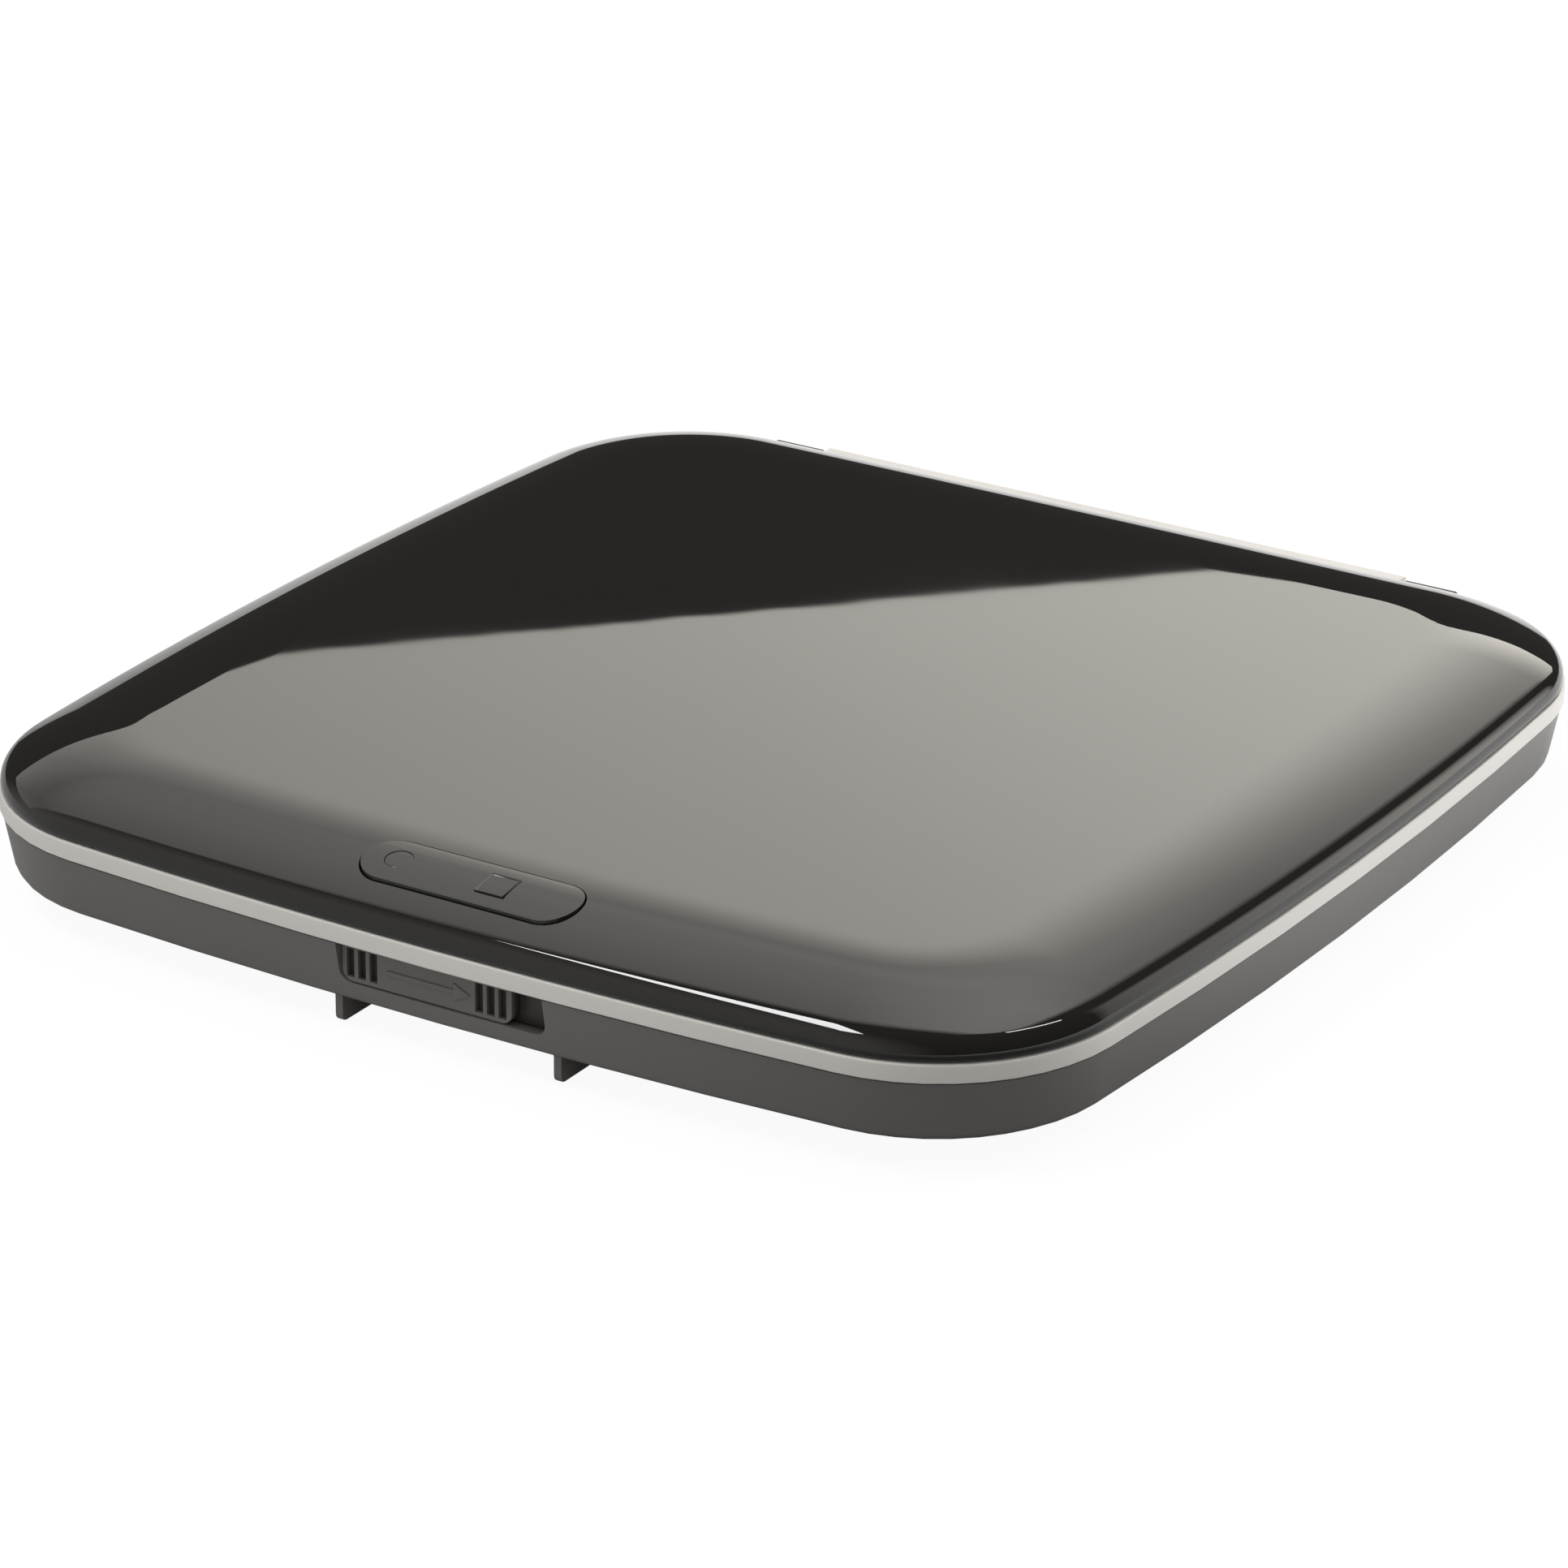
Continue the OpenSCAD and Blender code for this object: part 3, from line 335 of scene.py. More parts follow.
def outline_ring(bm, inset, height):
    mid_r = Vector((HALF_W - BOWS["right"], 0))
    mid_b = Vector((0, REAR_Y - BOWS["rear"]))
    mid_f = Vector((0, FRONT_Y + BOWS["front"]))
    corner = CORNER_R - CORNER_SHARE * inset
    reach = {side: radius - inset for side, radius in BOWS.items()}
    cf = where_arcs_meet(mid_f, reach["front"] - corner, mid_r, reach["right"] - corner)
    cb = where_arcs_meet(mid_r, reach["right"] - corner, mid_b, reach["rear"] - corner)
    low = math.atan2(cf.y - mid_r.y, cf.x - mid_r.x)
    high = math.atan2(cb.y - mid_r.y, cb.x - mid_r.x)
    rear = math.atan2(cb.y - mid_b.y, cb.x - mid_b.x)
    front = math.atan2(cf.y - mid_f.y, cf.x - mid_f.x)
    arcs = [
        (mid_r, high - low, SIDE_STEPS),
        (cb, rear - high, CORNER_STEPS),
        (mid_b, math.pi - 2 * rear, SIDE_STEPS),
        (Vector((-cb.x, cb.y)), rear - high, CORNER_STEPS),
        (-mid_r, high - low, SIDE_STEPS),
        (Vector((-cf.x, cf.y)), low - front, CORNER_STEPS),
        (mid_f, math.pi + 2 * front, SIDE_STEPS),
        (cf, low - front, CORNER_STEPS),
    ]
    before = set(bm.edges)
    x = mid_r.x + reach["right"] * math.cos(low)
    y = mid_r.y + reach["right"] * math.sin(low)
    first = bm.verts.new((x, y, height))
    tip = first
    for centre, turned, steps in arcs:
        spun = bmesh.ops.spin(bm, geom=[tip], cent=(centre.x, centre.y, height), axis=(0, 0, 1),
            angle=turned, steps=steps, use_merge=False)
        tip = last_vertex(spun)
    bmesh.ops.remove_doubles(bm, verts=[first, tip], dist=0.01)
    return [e for e in bm.edges if e not in before]


def bridged_shell(bm, profile):
    rings = [outline_ring(bm, inset, height) for inset, height in profile]
    for near, far in zip(rings, rings[1:]):
        bmesh.ops.bridge_loops(bm, edges=near + far)
    bmesh.ops.contextual_create(bm, geom=rings[0])
    bmesh.ops.contextual_create(bm, geom=rings[-1])
    bmesh.ops.recalc_face_normals(bm, faces=bm.faces)


# %% [markdown]
# The dome is steepest just inside the rounded edge and eases into the flat top. A height that
# depends only on the distance from the outline gives that form all round, and the button and its
# mark can ask the same function how high the lid is where they sit.

# %% Dome of the lid
TRIM_Z = 12.55
LID_Z = 12.7
WALL_IN = 0.2
WALL_TOP = TRIM_Z + 0.5
EDGE_R = 2.4
EDGE_SLOPE = 0.55
EDGE_LEAN = math.atan(EDGE_SLOPE)
DOME_W = 14.0
DOME_POWER = 2.5
DOME_IN = WALL_IN + EDGE_R * (1 - math.sin(EDGE_LEAN))
DOME_LOW = WALL_TOP + EDGE_R * math.cos(EDGE_LEAN)


def lid_height(inset):
    left = 1 - min(inset - DOME_IN, DOME_W) / DOME_W
    return DOME_LOW + EDGE_SLOPE * DOME_W / DOME_POWER * (1 - left ** DOME_POWER)


print("lid top at", round(lid_height(DOME_IN + DOME_W), 2), "mm")

# %% [markdown]
# The profile runs from the middle of the hollow underside, out to the rim, up the short wall,
# round the edge, and up the dome to the flat top.

# %% Lid profile
LID_T = 1.5
EDGE_STEPS = 12
lid_inner = [(i, lid_height(i) - LID_T) for i in (20.75, 17, 14, 11.5, 9, 7, 5, 3.6, 2.4)]
lid_rim = [(1.75, LID_Z + 0.4), (1.7, LID_Z), (0.42, LID_Z), (0.3, LID_Z + 0.05), (0.22, LID_Z + 0.16)]
lid_edge = []
for step in range(EDGE_STEPS + 1):
    turn_up = step / EDGE_STEPS * (math.pi / 2 - EDGE_LEAN)
    lid_edge.append((WALL_IN + EDGE_R * (1 - math.cos(turn_up)), WALL_TOP + EDGE_R * math.sin(turn_up)))
dome_insets = (0.7, 1.4, 2.1, 2.8, 3.5, 4.3, 5.1, 5.9, 6.7, 7.5, 8.3, 9.1, 9.9, 10.7, 11.5, 12.3, 13.1,
    DOME_W, 16)
lid_dome = [(DOME_IN + u, lid_height(DOME_IN + u)) for u in dome_insets]
lid_mesh = bmesh.new()
bridged_shell(lid_mesh, lid_inner + lid_rim + lid_edge + lid_dome)
bmesh.ops.scale(lid_mesh, vec=(MM, MM, MM), verts=lid_mesh.verts)
print("lid shell before cutting: faces", len(lid_mesh.faces))

# %% [markdown]
# Two openings are cut in the shell: the long notch for the hinge bar at the back, with pockets for
# the knuckles, and the oblong hole for the button in the front slope. Booleans with simple cutters
# keep the dome around them exactly where it was. Four bosses inside take the liner's screws.

# %% Cutters
OBLONG_STEPS = 24


def block_mesh(low, high):
    bm = bmesh.new()
    bmesh.ops.create_cube(bm, size=1.0)
    low = Vector(low) * MM
    high = Vector(high) * MM
    bmesh.ops.scale(bm, vec=high - low, verts=bm.verts)
    bmesh.ops.translate(bm, vec=(low + high) / 2, verts=bm.verts)
    return bm


def raise_face(bm, faces, by):
    grown = bmesh.ops.extrude_face_region(bm, geom=faces)["geom"]
    moved = [g for g in grown if isinstance(g, bmesh.types.BMVert)]
    bmesh.ops.translate(bm, vec=by, verts=moved)
    return [g for g in grown if isinstance(g, bmesh.types.BMFace)]


def oblong_mesh(middle, length, width, low, high):
    bm = bmesh.new()
    radius = width / 2
    reach = (length - width) / 2
    first = bm.verts.new((reach, -radius, low))
    spun = bmesh.ops.spin(bm, geom=[first], cent=(reach, 0, low), axis=(0, 0, 1), angle=math.pi,
        steps=OBLONG_STEPS)
    side = bmesh.ops.extrude_vert_indiv(bm, verts=[last_vertex(spun)])["verts"][0]
    side.co.x = -reach
    spun = bmesh.ops.spin(bm, geom=[side], cent=(-reach, 0, low), axis=(0, 0, 1), angle=math.pi,
        steps=OBLONG_STEPS)
    bm.edges.new((last_vertex(spun), first))
    floor_face = bmesh.ops.contextual_create(bm, geom=bm.edges[:])["faces"]
    raise_face(bm, floor_face, (0, 0, high - low))
    bmesh.ops.recalc_face_normals(bm, faces=bm.faces)
    bmesh.ops.translate(bm, vec=(middle[0], middle[1], 0), verts=bm.verts)
    bmesh.ops.scale(bm, vec=(MM, MM, MM), verts=bm.verts)
    return bm


def post_mesh(x, y, radius, low, high):
    bm = bmesh.new()
    bmesh.ops.create_cone(bm, cap_ends=True, segments=32, radius1=radius * MM, radius2=radius * MM,
        depth=(high - low) * MM)
    bmesh.ops.translate(bm, vec=Vector((x, y, (low + high) / 2)) * MM, verts=bm.verts)
    return bm


def wedge_mesh(profile, x0, x1):
    bm = bmesh.new()
    side = bm.faces.new([bm.verts.new((x0 * MM, y * MM, z * MM)) for y, z in profile])
    raise_face(bm, [side], ((x1 - x0) * MM, 0, 0))
    bmesh.ops.recalc_face_normals(bm, faces=bm.faces)
    return bm


# %% [markdown]
# Boolean modifiers do the cutting. They could stay on the piece, but then every later step would
# have to wait for them, so the cut mesh is read back and the working objects are thrown away.

# %% Cutting with Booleans
def shaped(bm, tools):
    mesh = bpy.data.meshes.new("work")
    bm.to_mesh(mesh)
    bm.free()
    work = bpy.data.objects.new("work", mesh)
    bpy.context.scene.collection.objects.link(work)
    spent = [work]
    for kind, tool in tools:
        tool_mesh = bpy.data.meshes.new("tool")
        tool.to_mesh(tool_mesh)
        tool.free()
        tool_object = bpy.data.objects.new("tool", tool_mesh)
        bpy.context.scene.collection.objects.link(tool_object)
        spent.append(tool_object)
        cut = work.modifiers.new(kind, "BOOLEAN")
        cut.operation = kind
        cut.solver = "EXACT"
        cut.object = tool_object
    seen = bpy.context.evaluated_depsgraph_get()
    result = bmesh.new()
    result.from_mesh(work.evaluated_get(seen).to_mesh())
    for used in spent:
        bpy.data.objects.remove(used)
    return result


# %% Lid shell with its openings
HINGE_Y = 70.0
HINGE_Z = 14.05
HINGE_TOP = HINGE_Z + 1.6
NOTCH_Y = 67.5
NOTCH_HALF = 46.6
POCKET_TOP = LID_Z + 1.7
BUTTON_X = 0.25
BUTTON_Y = -63.95
BUTTON_HOLE = (27.0, 7.4)
BOSS_X = 44
BOSS_Y = 40
lid_tools = [
    ("UNION", block_mesh((-47.6, NOTCH_Y - 1.2, LID_Z + 0.05),
        (47.6, NOTCH_Y, lid_height(REAR_Y - NOTCH_Y) - 0.6))),
    ("DIFFERENCE", block_mesh((-NOTCH_HALF, NOTCH_Y, 0), (NOTCH_HALF, REAR_Y + 5, 40))),
    ("DIFFERENCE", wedge_mesh([(HINGE_Y + 0.45, LID_Z - 1), (HINGE_Y + 0.68, LID_Z),
        (HINGE_Y + 1.72, HINGE_TOP), (HINGE_Y + 9, HINGE_TOP), (HINGE_Y + 9, LID_Z - 1)],
        -HALF_W, HALF_W)),
    ("DIFFERENCE", block_mesh((39.8, NOTCH_Y - 3, 0), (46.8, REAR_Y, POCKET_TOP))),
    ("DIFFERENCE", block_mesh((-46.8, NOTCH_Y - 3, 0), (-39.8, REAR_Y, POCKET_TOP))),
    ("DIFFERENCE", oblong_mesh((BUTTON_X, BUTTON_Y), *BUTTON_HOLE, LID_Z, LID_Z + 20)),
]
for x in (-BOSS_X, BOSS_X):
    for y in (-BOSS_Y, BOSS_Y):
        lid_tools.append(("UNION", post_mesh(x, y, 2.2, 16.05, 17.3)))
        lid_tools.append(("DIFFERENCE", post_mesh(x, y, 0.82, 15, 17.45)))
lid_mesh = shaped(lid_mesh, lid_tools)
place(lid_mesh, "lid_skin", gloss_black, "lid", ["lid_shell"])

# %% [markdown]
# The other outer pieces have the right shape already, but their edges are perfectly sharp, and a
# sharp edge never catches the light. A copy of each CAD mesh is welded, its flat triangles are
# joined, and its corners get a small round bevel. Weighted normals keep the large faces flat, so
# that only the bevel turns. The pieces that show under the open lid get the same care. The button
# also sinks a little towards its rear edge, so that its outline shows all round from the front.

# %% Softened copies
WELD = 0.002 * MM
FLAT_BELOW = math.radians(0.6)
SHARP_ABOVE = math.radians(35)
BUTTON_FRONT = BUTTON_Y - 3.5
BUTTON_SINK = 0.05
button_set = Matrix.Identity(4)
button_set[2][1] = -BUTTON_SINK
button_set[2][3] = BUTTON_SINK * BUTTON_FRONT * MM


def softened(node, name, material, body, width, segments=2, leant=Matrix.Identity(4)):
    bm = bmesh.new()
    bm.from_mesh(nodes[node].data)
    bmesh.ops.transform(bm, matrix=leant, verts=bm.verts)
    bmesh.ops.remove_doubles(bm, verts=bm.verts, dist=WELD)
    bmesh.ops.dissolve_limit(bm, angle_limit=FLAT_BELOW, verts=bm.verts, edges=bm.edges,
        use_dissolve_boundaries=False)
    sharp = [e for e in bm.edges if e.is_manifold and e.calc_face_angle() > SHARP_ABOVE]
    bmesh.ops.bevel(bm, geom=sharp, offset=width * MM, offset_type="OFFSET", affect="EDGES",
        segments=segments, profile=0.5, clamp_overlap=True, material=-1)
    piece = place(bm, name, material, body, [node])
    level = piece.modifiers.new("flat_faces", "WEIGHTED_NORMAL")
    level.keep_sharp = True
    level.weight = 100


softened("base_shell", "base_case", base_grey, "case", 0.15)
softened("trim_frame", "silver_band", silver_paint, "case", 0.1)
softened("open_slider", "slide_grip", slide_grey_painted_shade, "slide", 0.12)
softened("stop_button", "button_cap", button_black, "button", 0.2, 4, button_set)
softened("led_window", "led_lens", smoke_window, "button", 0.15, leant=button_set)
softened("disc_deck", "well_deck", deck_black, "case", 0.2)
softened("lid_liner", "lid_panel", liner_black, "lid", 0.15)
softened("pickup_sled", "sled_body", cast_alloy, "sled", 0.15)
softened("lens_holder", "lens_frame", chip_black, "lens", 0.1)
softened("traverse_plate", "mech_plate", rolled_steel, "case", 0.08)
softened("turntable", "disc_table", rotor_metal, "spindle", 0.12)
softened("hinge_arms", "lid_arms", liner_black, "lid", 0.1)
softened("latch_hook", "lid_hook", liner_black, "lid", 0.1)
softened("rubber_feet", "feet_pads", foot_rubber, "case", 0.15)
softened("usb_socket", "socket_shell", plated_steel, "case", 0.06)

# %% [markdown]
# The button and the slide carry raised marks: a plain square says stop, and an arrow says which way
# the slide goes. Each mark is a thin plate in the colour of its piece, drawn flat, thickened,
# softened, and then laid on the surface that carries it. The square keeps only a raised rim.

# %% Mark on the button
def raised_plate(corners, thickness, soften, rim=0.0):
    bm = bmesh.new()
    face = bm.faces.new([bm.verts.new((x * MM, y * MM, 0)) for x, y in corners])
    top = raise_face(bm, [face], (0, 0, thickness * MM))
    if rim:
        bmesh.ops.inset_region(bm, faces=top, thickness=rim * MM, depth=-0.7 * thickness * MM)
    bmesh.ops.recalc_face_normals(bm, faces=bm.faces)
    bmesh.ops.bevel(bm, geom=bm.edges[:], offset=soften * MM, offset_type="OFFSET", affect="EDGES",
        segments=2, profile=0.5, clamp_overlap=True, material=-1)
    return bm


STOP_X = 3.5
STOP_HALF = 1.8
BUTTON_UP = 0.4
STOP_SUNK = 0.22
button_inset = BUTTON_Y - FRONT_Y
dome_left = 1 - (button_inset - DOME_IN) / DOME_W
button_lean = math.atan(EDGE_SLOPE * dome_left ** (DOME_POWER - 1))
square = [(-STOP_HALF, -STOP_HALF), (STOP_HALF, -STOP_HALF), (STOP_HALF, STOP_HALF),
    (-STOP_HALF, STOP_HALF)]
stop_mesh = raised_plate(square, 0.32, 0.06, 0.5)
stop_spot = Vector((STOP_X, BUTTON_Y, lid_height(button_inset) + BUTTON_UP - STOP_SUNK)) * MM
bmesh.ops.transform(stop_mesh, verts=stop_mesh.verts,
    matrix=button_set @ Matrix.Translation(stop_spot) @ Matrix.Rotation(button_lean, 4, "X"))
place(stop_mesh, "stop_mark", button_black, "button")

# %% Mark on the slide
GRIP_Y = -70.45
ARROW_SUNK = 0.14
ARROW_Z = 7.95
arrow = [(-6, -0.26), (2.3, -0.26), (2.3, -1), (4.4, 0), (2.3, 1), (2.3, 0.26), (-6, 0.26)]
arrow_mesh = raised_plate(arrow, 0.3, 0.05)
arrow_spot = Vector((0, GRIP_Y + ARROW_SUNK, ARROW_Z)) * MM
bmesh.ops.transform(arrow_mesh, verts=arrow_mesh.verts,
    matrix=Matrix.Translation(arrow_spot) @ Matrix.Rotation(math.pi / 2, 4, "X"))
place(arrow_mesh, "slide_mark", slide_grey_painted_shade, "slide")

# %% [markdown]
# The slide works against a small coil spring. One end stays on the case and the other goes with the
# slide. Its CAD mesh is copied as it stands, in bright steel.

# %% Spring of the slide
coil_mesh = bmesh.new()
coil_mesh.from_mesh(nodes["slider_spring"].data)
coil_shape = bpy.data.meshes.new("slide_coil")
coil_mesh.to_mesh(coil_shape)
coil_mesh.free()
coil_shape.shade_smooth()
coil_shape.materials.clear()
coil_shape.materials.append(bright_steel)
slide_coil = bpy.data.objects.new("slide_coil", coil_shape)
bpy.context.scene.collection.objects.link(slide_coil)
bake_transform(slide_coil)
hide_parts("slider_spring")
print("slide_coil faces", len(coil_shape.polygons))

# %% [markdown]
# Everything else keeps its CAD mesh and takes a finish from the lists above.

# %% Finishes on the CAD pieces
def dress(material, *names):
    for name in names:
        slots = nodes[name].data.materials
        slots.clear()
        slots.append(material)
    print(material.name, "on", ", ".join(names))


dress(bright_steel, "case_screws", "hinge_pins", "guide_rods", "damper_screws", "lead_screw",
    "panel_screws")
dress(liner_black, "lid_switch_peg")
dress(board_green, "main_board", "switch_board")
dress(chip_black, "board_chips", "stop_switch", "lid_switch", "usb_tongue")
dress(ivory_plastic, "ribbon_connector")
dress(plated_steel, "sled_motor")
dress(pale_plastic, "stop_switch_plunger", "lid_switch_pin", "sled_nut", "chuck_lug_1", "chuck_lug_2",
    "chuck_lug_3")
dress(led_clear, "status_led")
dress(film_cream, "pickup_ribbon")
dress(pad_rubber, "rubber_dampers", "turntable_pad")
dress(winding_copper, "spindle_motor")
dress(lens_glass, "objective_lens")

# %% [markdown]
# The light is one very large soft panel above and behind the object with straight edges. The flat
# lid mirrors it, so its lower edge draws the line where the lid turns from grey to black. An area
# lamp could do this, but the world is simpler to aim: one tilted plane gives each edge, and the
# angle from one direction gives the glow. A few helpers make the nodes for that.

# %% World helpers
world = bpy.data.worlds.new("soft_studio")
world.use_nodes = True
bpy.context.scene.world = world
sky = world.node_tree
sky.nodes.clear()
wire = sky.links.new
sky_place = sky.nodes.new("ShaderNodeTexCoord")


def sky_direction(azimuth_deg, elevation_deg):
    a = math.radians(azimuth_deg)
    e = math.radians(elevation_deg)
    return Vector((math.sin(a) * math.cos(e), math.cos(a) * math.cos(e), math.sin(e)))


def sky_dot(direction):
    node = sky.nodes.new("ShaderNodeVectorMath")
    node.operation = "DOT_PRODUCT"
    node.inputs[1].default_value = direction
    sky.links.new(sky_place.outputs["Generated"], node.inputs[0])
    return node.outputs["Value"]


def sky_range(direction, low, high, bottom, top):
    return ranged(sky, sky_dot(direction), low, high, bottom, top)


def sky_math(kind, one, two):
    node = sky.nodes.new("ShaderNodeMath")
    node.operation = kind
    for socket, value in zip(node.inputs, (one, two)):
        if isinstance(value, float):
            socket.default_value = value
        else:
            sky.links.new(value, socket)
    return node.outputs["Value"]


def sky_ramp(direction, steps):
    node = sky.nodes.new("ShaderNodeValToRGB")
    while len(node.color_ramp.elements) < len(steps):
        node.color_ramp.elements.new(0.5)
    for element, (position, level) in zip(node.color_ramp.elements, steps):
        element.position = position
        element.color = (level, level, level, 1)
    sky.links.new(sky_dot(direction), node.inputs["Fac"])
    return node.outputs["Color"]


# %% [markdown]
# The panel is brightest low down at the back and again overhead, and dimmer towards its front edge,
# except at the right. Three planes bound it: the lower edge, the right edge and the front edge.

# %% Panel of light
edge_normal = Vector((0.27686, -0.26, 0.92507)).normalized()
right_normal = sky_direction(40, 72).cross(sky_direction(8, 31)).normalized()
front_normal = Vector((-0.476, 0.05, 0.878)).cross(Vector((0.084, 0.227, 0.971))).normalized()
glow_centre = sky_direction(-13.7, 12.9)
glow = sky_ramp(glow_centre, [(0.766, 0.02), (0.866, 0.107), (0.906, 0.213), (0.94, 0.372),
    (0.966, 0.573), (0.985, 0.78), (0.996, 0.94), (1.0, 1.0)])
low_glow = sky_math("MULTIPLY", glow, 3.34)
overhead = sky_range((0, 0, 1), 0.6, 1.0, 0.88, 3.59)
front_fade = sky_ramp(front_normal, [(0.0, 0.48), (0.12, 0.545), (0.21, 0.6), (0.31, 0.68),
    (0.4, 0.75), (0.485, 0.87), (0.55, 1.0)])
right_lift = sky_range((1, 0, 0), -0.45, 0.0, 0.0, 0.3)
fade = sky_math("MINIMUM", sky_math("ADD", front_fade, right_lift), 1.0)
panel_level = sky_math("MULTIPLY", sky_math("ADD", low_glow, overhead), fade)
above_edge = sky_range(edge_normal, -0.0003, 0.0003, 0.0, 1.0)
left_of_edge = sky_range(right_normal, 0.01, 0.05, 0.0, 1.0)
behind_edge = sky_range(front_normal, -0.03, 0.03, 0.0, 1.0)
inside = sky_math("MULTIPLY", sky_math("MULTIPLY", above_edge, left_of_edge), behind_edge)
panel_light = sky_math("MULTIPLY", panel_level, inside)
print("panel edges:", [[round(v, 3) for v in n] for n in (edge_normal, right_normal, front_normal)])

# %% [markdown]
# A pale wall at the back right gives the upright right side something to mirror, and a dim one in
# front does the same for the front. Only mirror rays see the panel and the walls. Matte surfaces
# get an even light at a plain level, and the camera sees white.

# %% Walls and the even light
low_wall = sky_math("MULTIPLY", sky_range((0, 1, 0), 0.6, 0.85, 0.0, 2.3),
    sky_range((1, 0, 0), 0.3, 0.45, 0.0, 1.0))
front_wall = sky_range((-0.6, -0.8, 0), 0.3, 0.8, 0.05, 0.6)
surroundings = sky_math("ADD", low_wall, front_wall)


def sky_background(colour, strength):
    node = sky.nodes.new("ShaderNodeBackground")
    node.inputs["Color"].default_value = (*colour, 1)
    if isinstance(strength, float):
        node.inputs["Strength"].default_value = strength
    else:
        sky.links.new(strength, node.inputs["Strength"])
    return node.outputs["Background"]


panel = sky_background((1, 0.955, 0.885), sky_math("ADD", panel_light, surroundings))
even = sky_background((1, 0.99, 0.97), 0.8)
white = sky_background((1, 1, 1), 1.0)
seen_by = sky.nodes.new("ShaderNodeLightPath")
matte_or_mirror = sky.nodes.new("ShaderNodeMixShader")
camera_or_not = sky.nodes.new("ShaderNodeMixShader")
sky_out = sky.nodes.new("ShaderNodeOutputWorld")
wire(seen_by.outputs["Is Glossy Ray"], matte_or_mirror.inputs["Fac"])
wire(even, matte_or_mirror.inputs[1])
wire(panel, matte_or_mirror.inputs[2])
wire(seen_by.outputs["Is Camera Ray"], camera_or_not.inputs["Fac"])
wire(matte_or_mirror.outputs["Shader"], camera_or_not.inputs[1])
wire(white, camera_or_not.inputs[2])
wire(camera_or_not.outputs["Shader"], sky_out.inputs["Surface"])
print("world nodes:", len(sky.nodes))

# %% [markdown]
# Three lamps finish the light. A long one high on the front left draws the thin white line along
# the rounded lid edge, and a narrow one high at the back right puts the short glint on the corner.
# The third stands close by at the back right, so the right side of the base gets brighter towards
# the back. It is kept out of the mirror of the lid.

# %% Lamps
def area_lamp(name, direction, distance, width, height, energy, turn=0.0, mirrored=True):
    data = bpy.data.lights.new(name, "AREA")
    data.shape = "RECTANGLE"
    data.size = width
    data.size_y = height
    data.energy = energy
    lamp = bpy.data.objects.new(name, data)
    spot = Vector(direction).normalized() * distance
    aim = spot.to_track_quat("Z", "Y").to_matrix().to_4x4()
    lamp.matrix_world = Matrix.Translation(spot) @ aim @ Matrix.Rotation(turn, 4, "Z")
    lamp.visible_camera = False
    lamp.visible_glossy = mirrored
    bpy.context.scene.collection.objects.link(lamp)
    print(name, "at", [round(v, 2) for v in spot])


area_lamp("edge_lamp", (-0.345, -0.275, 0.9), 1.5, 0.63, 0.24, 9.0, -0.2)
area_lamp("side_lamp", (0.3, 0.33, 0.2), 0.49, 0.2, 0.2, 0.62, mirrored=False)
area_lamp("corner_lamp", (0.318, 0.333, 0.888), 1.5, 0.46, 0.07, 1.9, -1.11)

# %% [markdown]
# The table is pale at the back right, greyer in front and darkest before the front right corner,
# which is what the short lid wall mirrors on each side. A plain paper would do for the shadow, but
# not for that mirror, so its tone follows two ranges of the Object coordinates.

# %% Floor paper
floor_paper = bpy.data.materials.new("floor_paper")
floor_paper.use_nodes = True
paper = floor_paper.node_tree
paper.nodes.clear()
paper_place = paper.nodes.new("ShaderNodeTexCoord")
paper_along = paper.nodes.new("ShaderNodeVectorMath")
paper_along.operation = "DOT_PRODUCT"
paper_along.inputs[1].default_value = (1, 1, 0)
paper_apart = paper.nodes.new("ShaderNodeVectorMath")
paper_apart.operation = "DISTANCE"
paper_apart.inputs[1].default_value = (0.1, -0.09, 0)
paper_tone = paper.nodes.new("ShaderNodeMath")
paper_tone.operation = "MULTIPLY"
paper_matte = paper.nodes.new("ShaderNodeBsdfDiffuse")
wire = paper.links.new
wire(paper_place.outputs["Object"], paper_along.inputs[0])
wire(paper_place.outputs["Object"], paper_apart.inputs[0])
wire(ranged(paper, paper_along.outputs["Value"], -0.1, 0.06, 0.45, 0.9), paper_tone.inputs[0])
wire(ranged(paper, paper_apart.outputs["Value"], 0.03, 0.1, 0.2, 1.0), paper_tone.inputs[1])
wire(paper_tone.outputs["Value"], paper_matte.inputs["Color"])
print("paper tone nodes:", len(paper.nodes))

# %% [markdown]
# The camera sees the paper as white, like the space behind it, with only a trace of the shadow that
# the case drops on it. From below it is clear, so that the underside can be looked at.

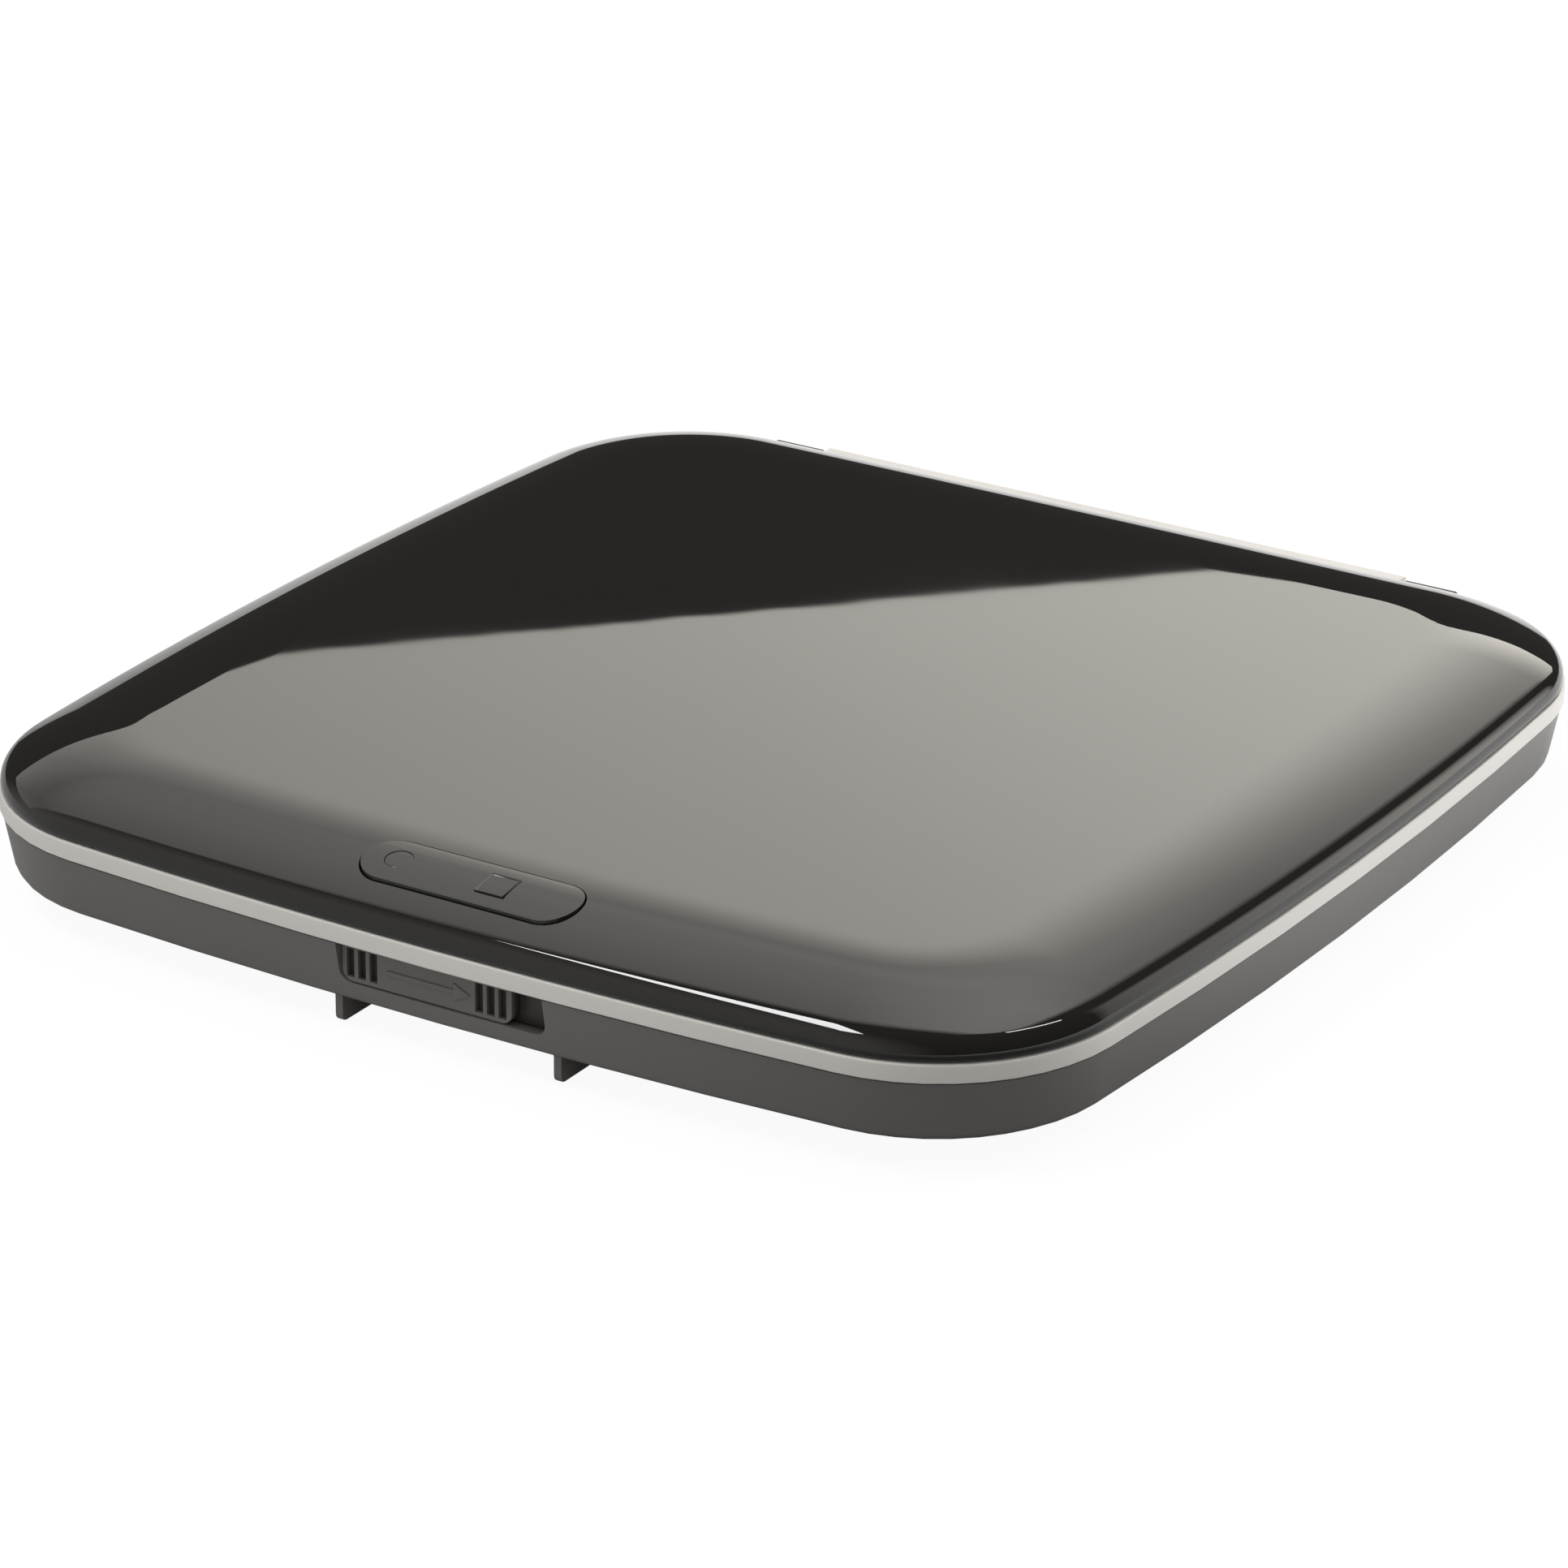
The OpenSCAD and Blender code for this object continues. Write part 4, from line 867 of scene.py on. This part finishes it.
# %% How the paper is seen
SHADOW_TRACE = 0.06
paper_white = paper.nodes.new("ShaderNodeEmission")
paper_pale = paper.nodes.new("ShaderNodeBsdfDiffuse")
paper_pale.inputs["Color"].default_value = (1, 1, 1, 1)
paper_shown = paper.nodes.new("ShaderNodeMixShader")
paper_shown.inputs["Fac"].default_value = SHADOW_TRACE
paper_seen = paper.nodes.new("ShaderNodeLightPath")
paper_choose = paper.nodes.new("ShaderNodeMixShader")
paper_side = paper.nodes.new("ShaderNodeNewGeometry")
paper_clear = paper.nodes.new("ShaderNodeBsdfTransparent")
paper_under = paper.nodes.new("ShaderNodeMixShader")
paper_out = paper.nodes.new("ShaderNodeOutputMaterial")
wire(paper_white.outputs["Emission"], paper_shown.inputs[1])
wire(paper_pale.outputs["BSDF"], paper_shown.inputs[2])
wire(paper_seen.outputs["Is Camera Ray"], paper_choose.inputs["Fac"])
wire(paper_matte.outputs["BSDF"], paper_choose.inputs[1])
wire(paper_shown.outputs["Shader"], paper_choose.inputs[2])
wire(paper_side.outputs["Backfacing"], paper_under.inputs["Fac"])
wire(paper_choose.outputs["Shader"], paper_under.inputs[1])
wire(paper_clear.outputs["BSDF"], paper_under.inputs[2])
wire(paper_under.outputs["Shader"], paper_out.inputs["Surface"])
print("paper nodes:", len(paper.nodes))

# %% [markdown]
# The floor is one large disc. It lies a tenth of a millimetre under the feet, because two faces in
# the same place would flicker.

# %% Floor
FLOOR_R = 4.0
FLOOR_Z = -0.1 * MM
floor_mesh = bmesh.new()
bmesh.ops.create_circle(floor_mesh, cap_ends=True, radius=FLOOR_R, segments=64)
bmesh.ops.translate(floor_mesh, vec=(0, 0, FLOOR_Z), verts=floor_mesh.verts)
floor_data = bpy.data.meshes.new("floor")
floor_mesh.to_mesh(floor_data)
floor_mesh.free()
floor_data.materials.append(floor_paper)
floor = bpy.data.objects.new("floor", floor_data)
bpy.context.scene.collection.objects.link(floor)
print("floor radius", FLOOR_R, "m")

# %% [markdown]
# The picture is shown as it is computed.

# %% Finish
bpy.context.scene.view_settings.view_transform = "Standard"
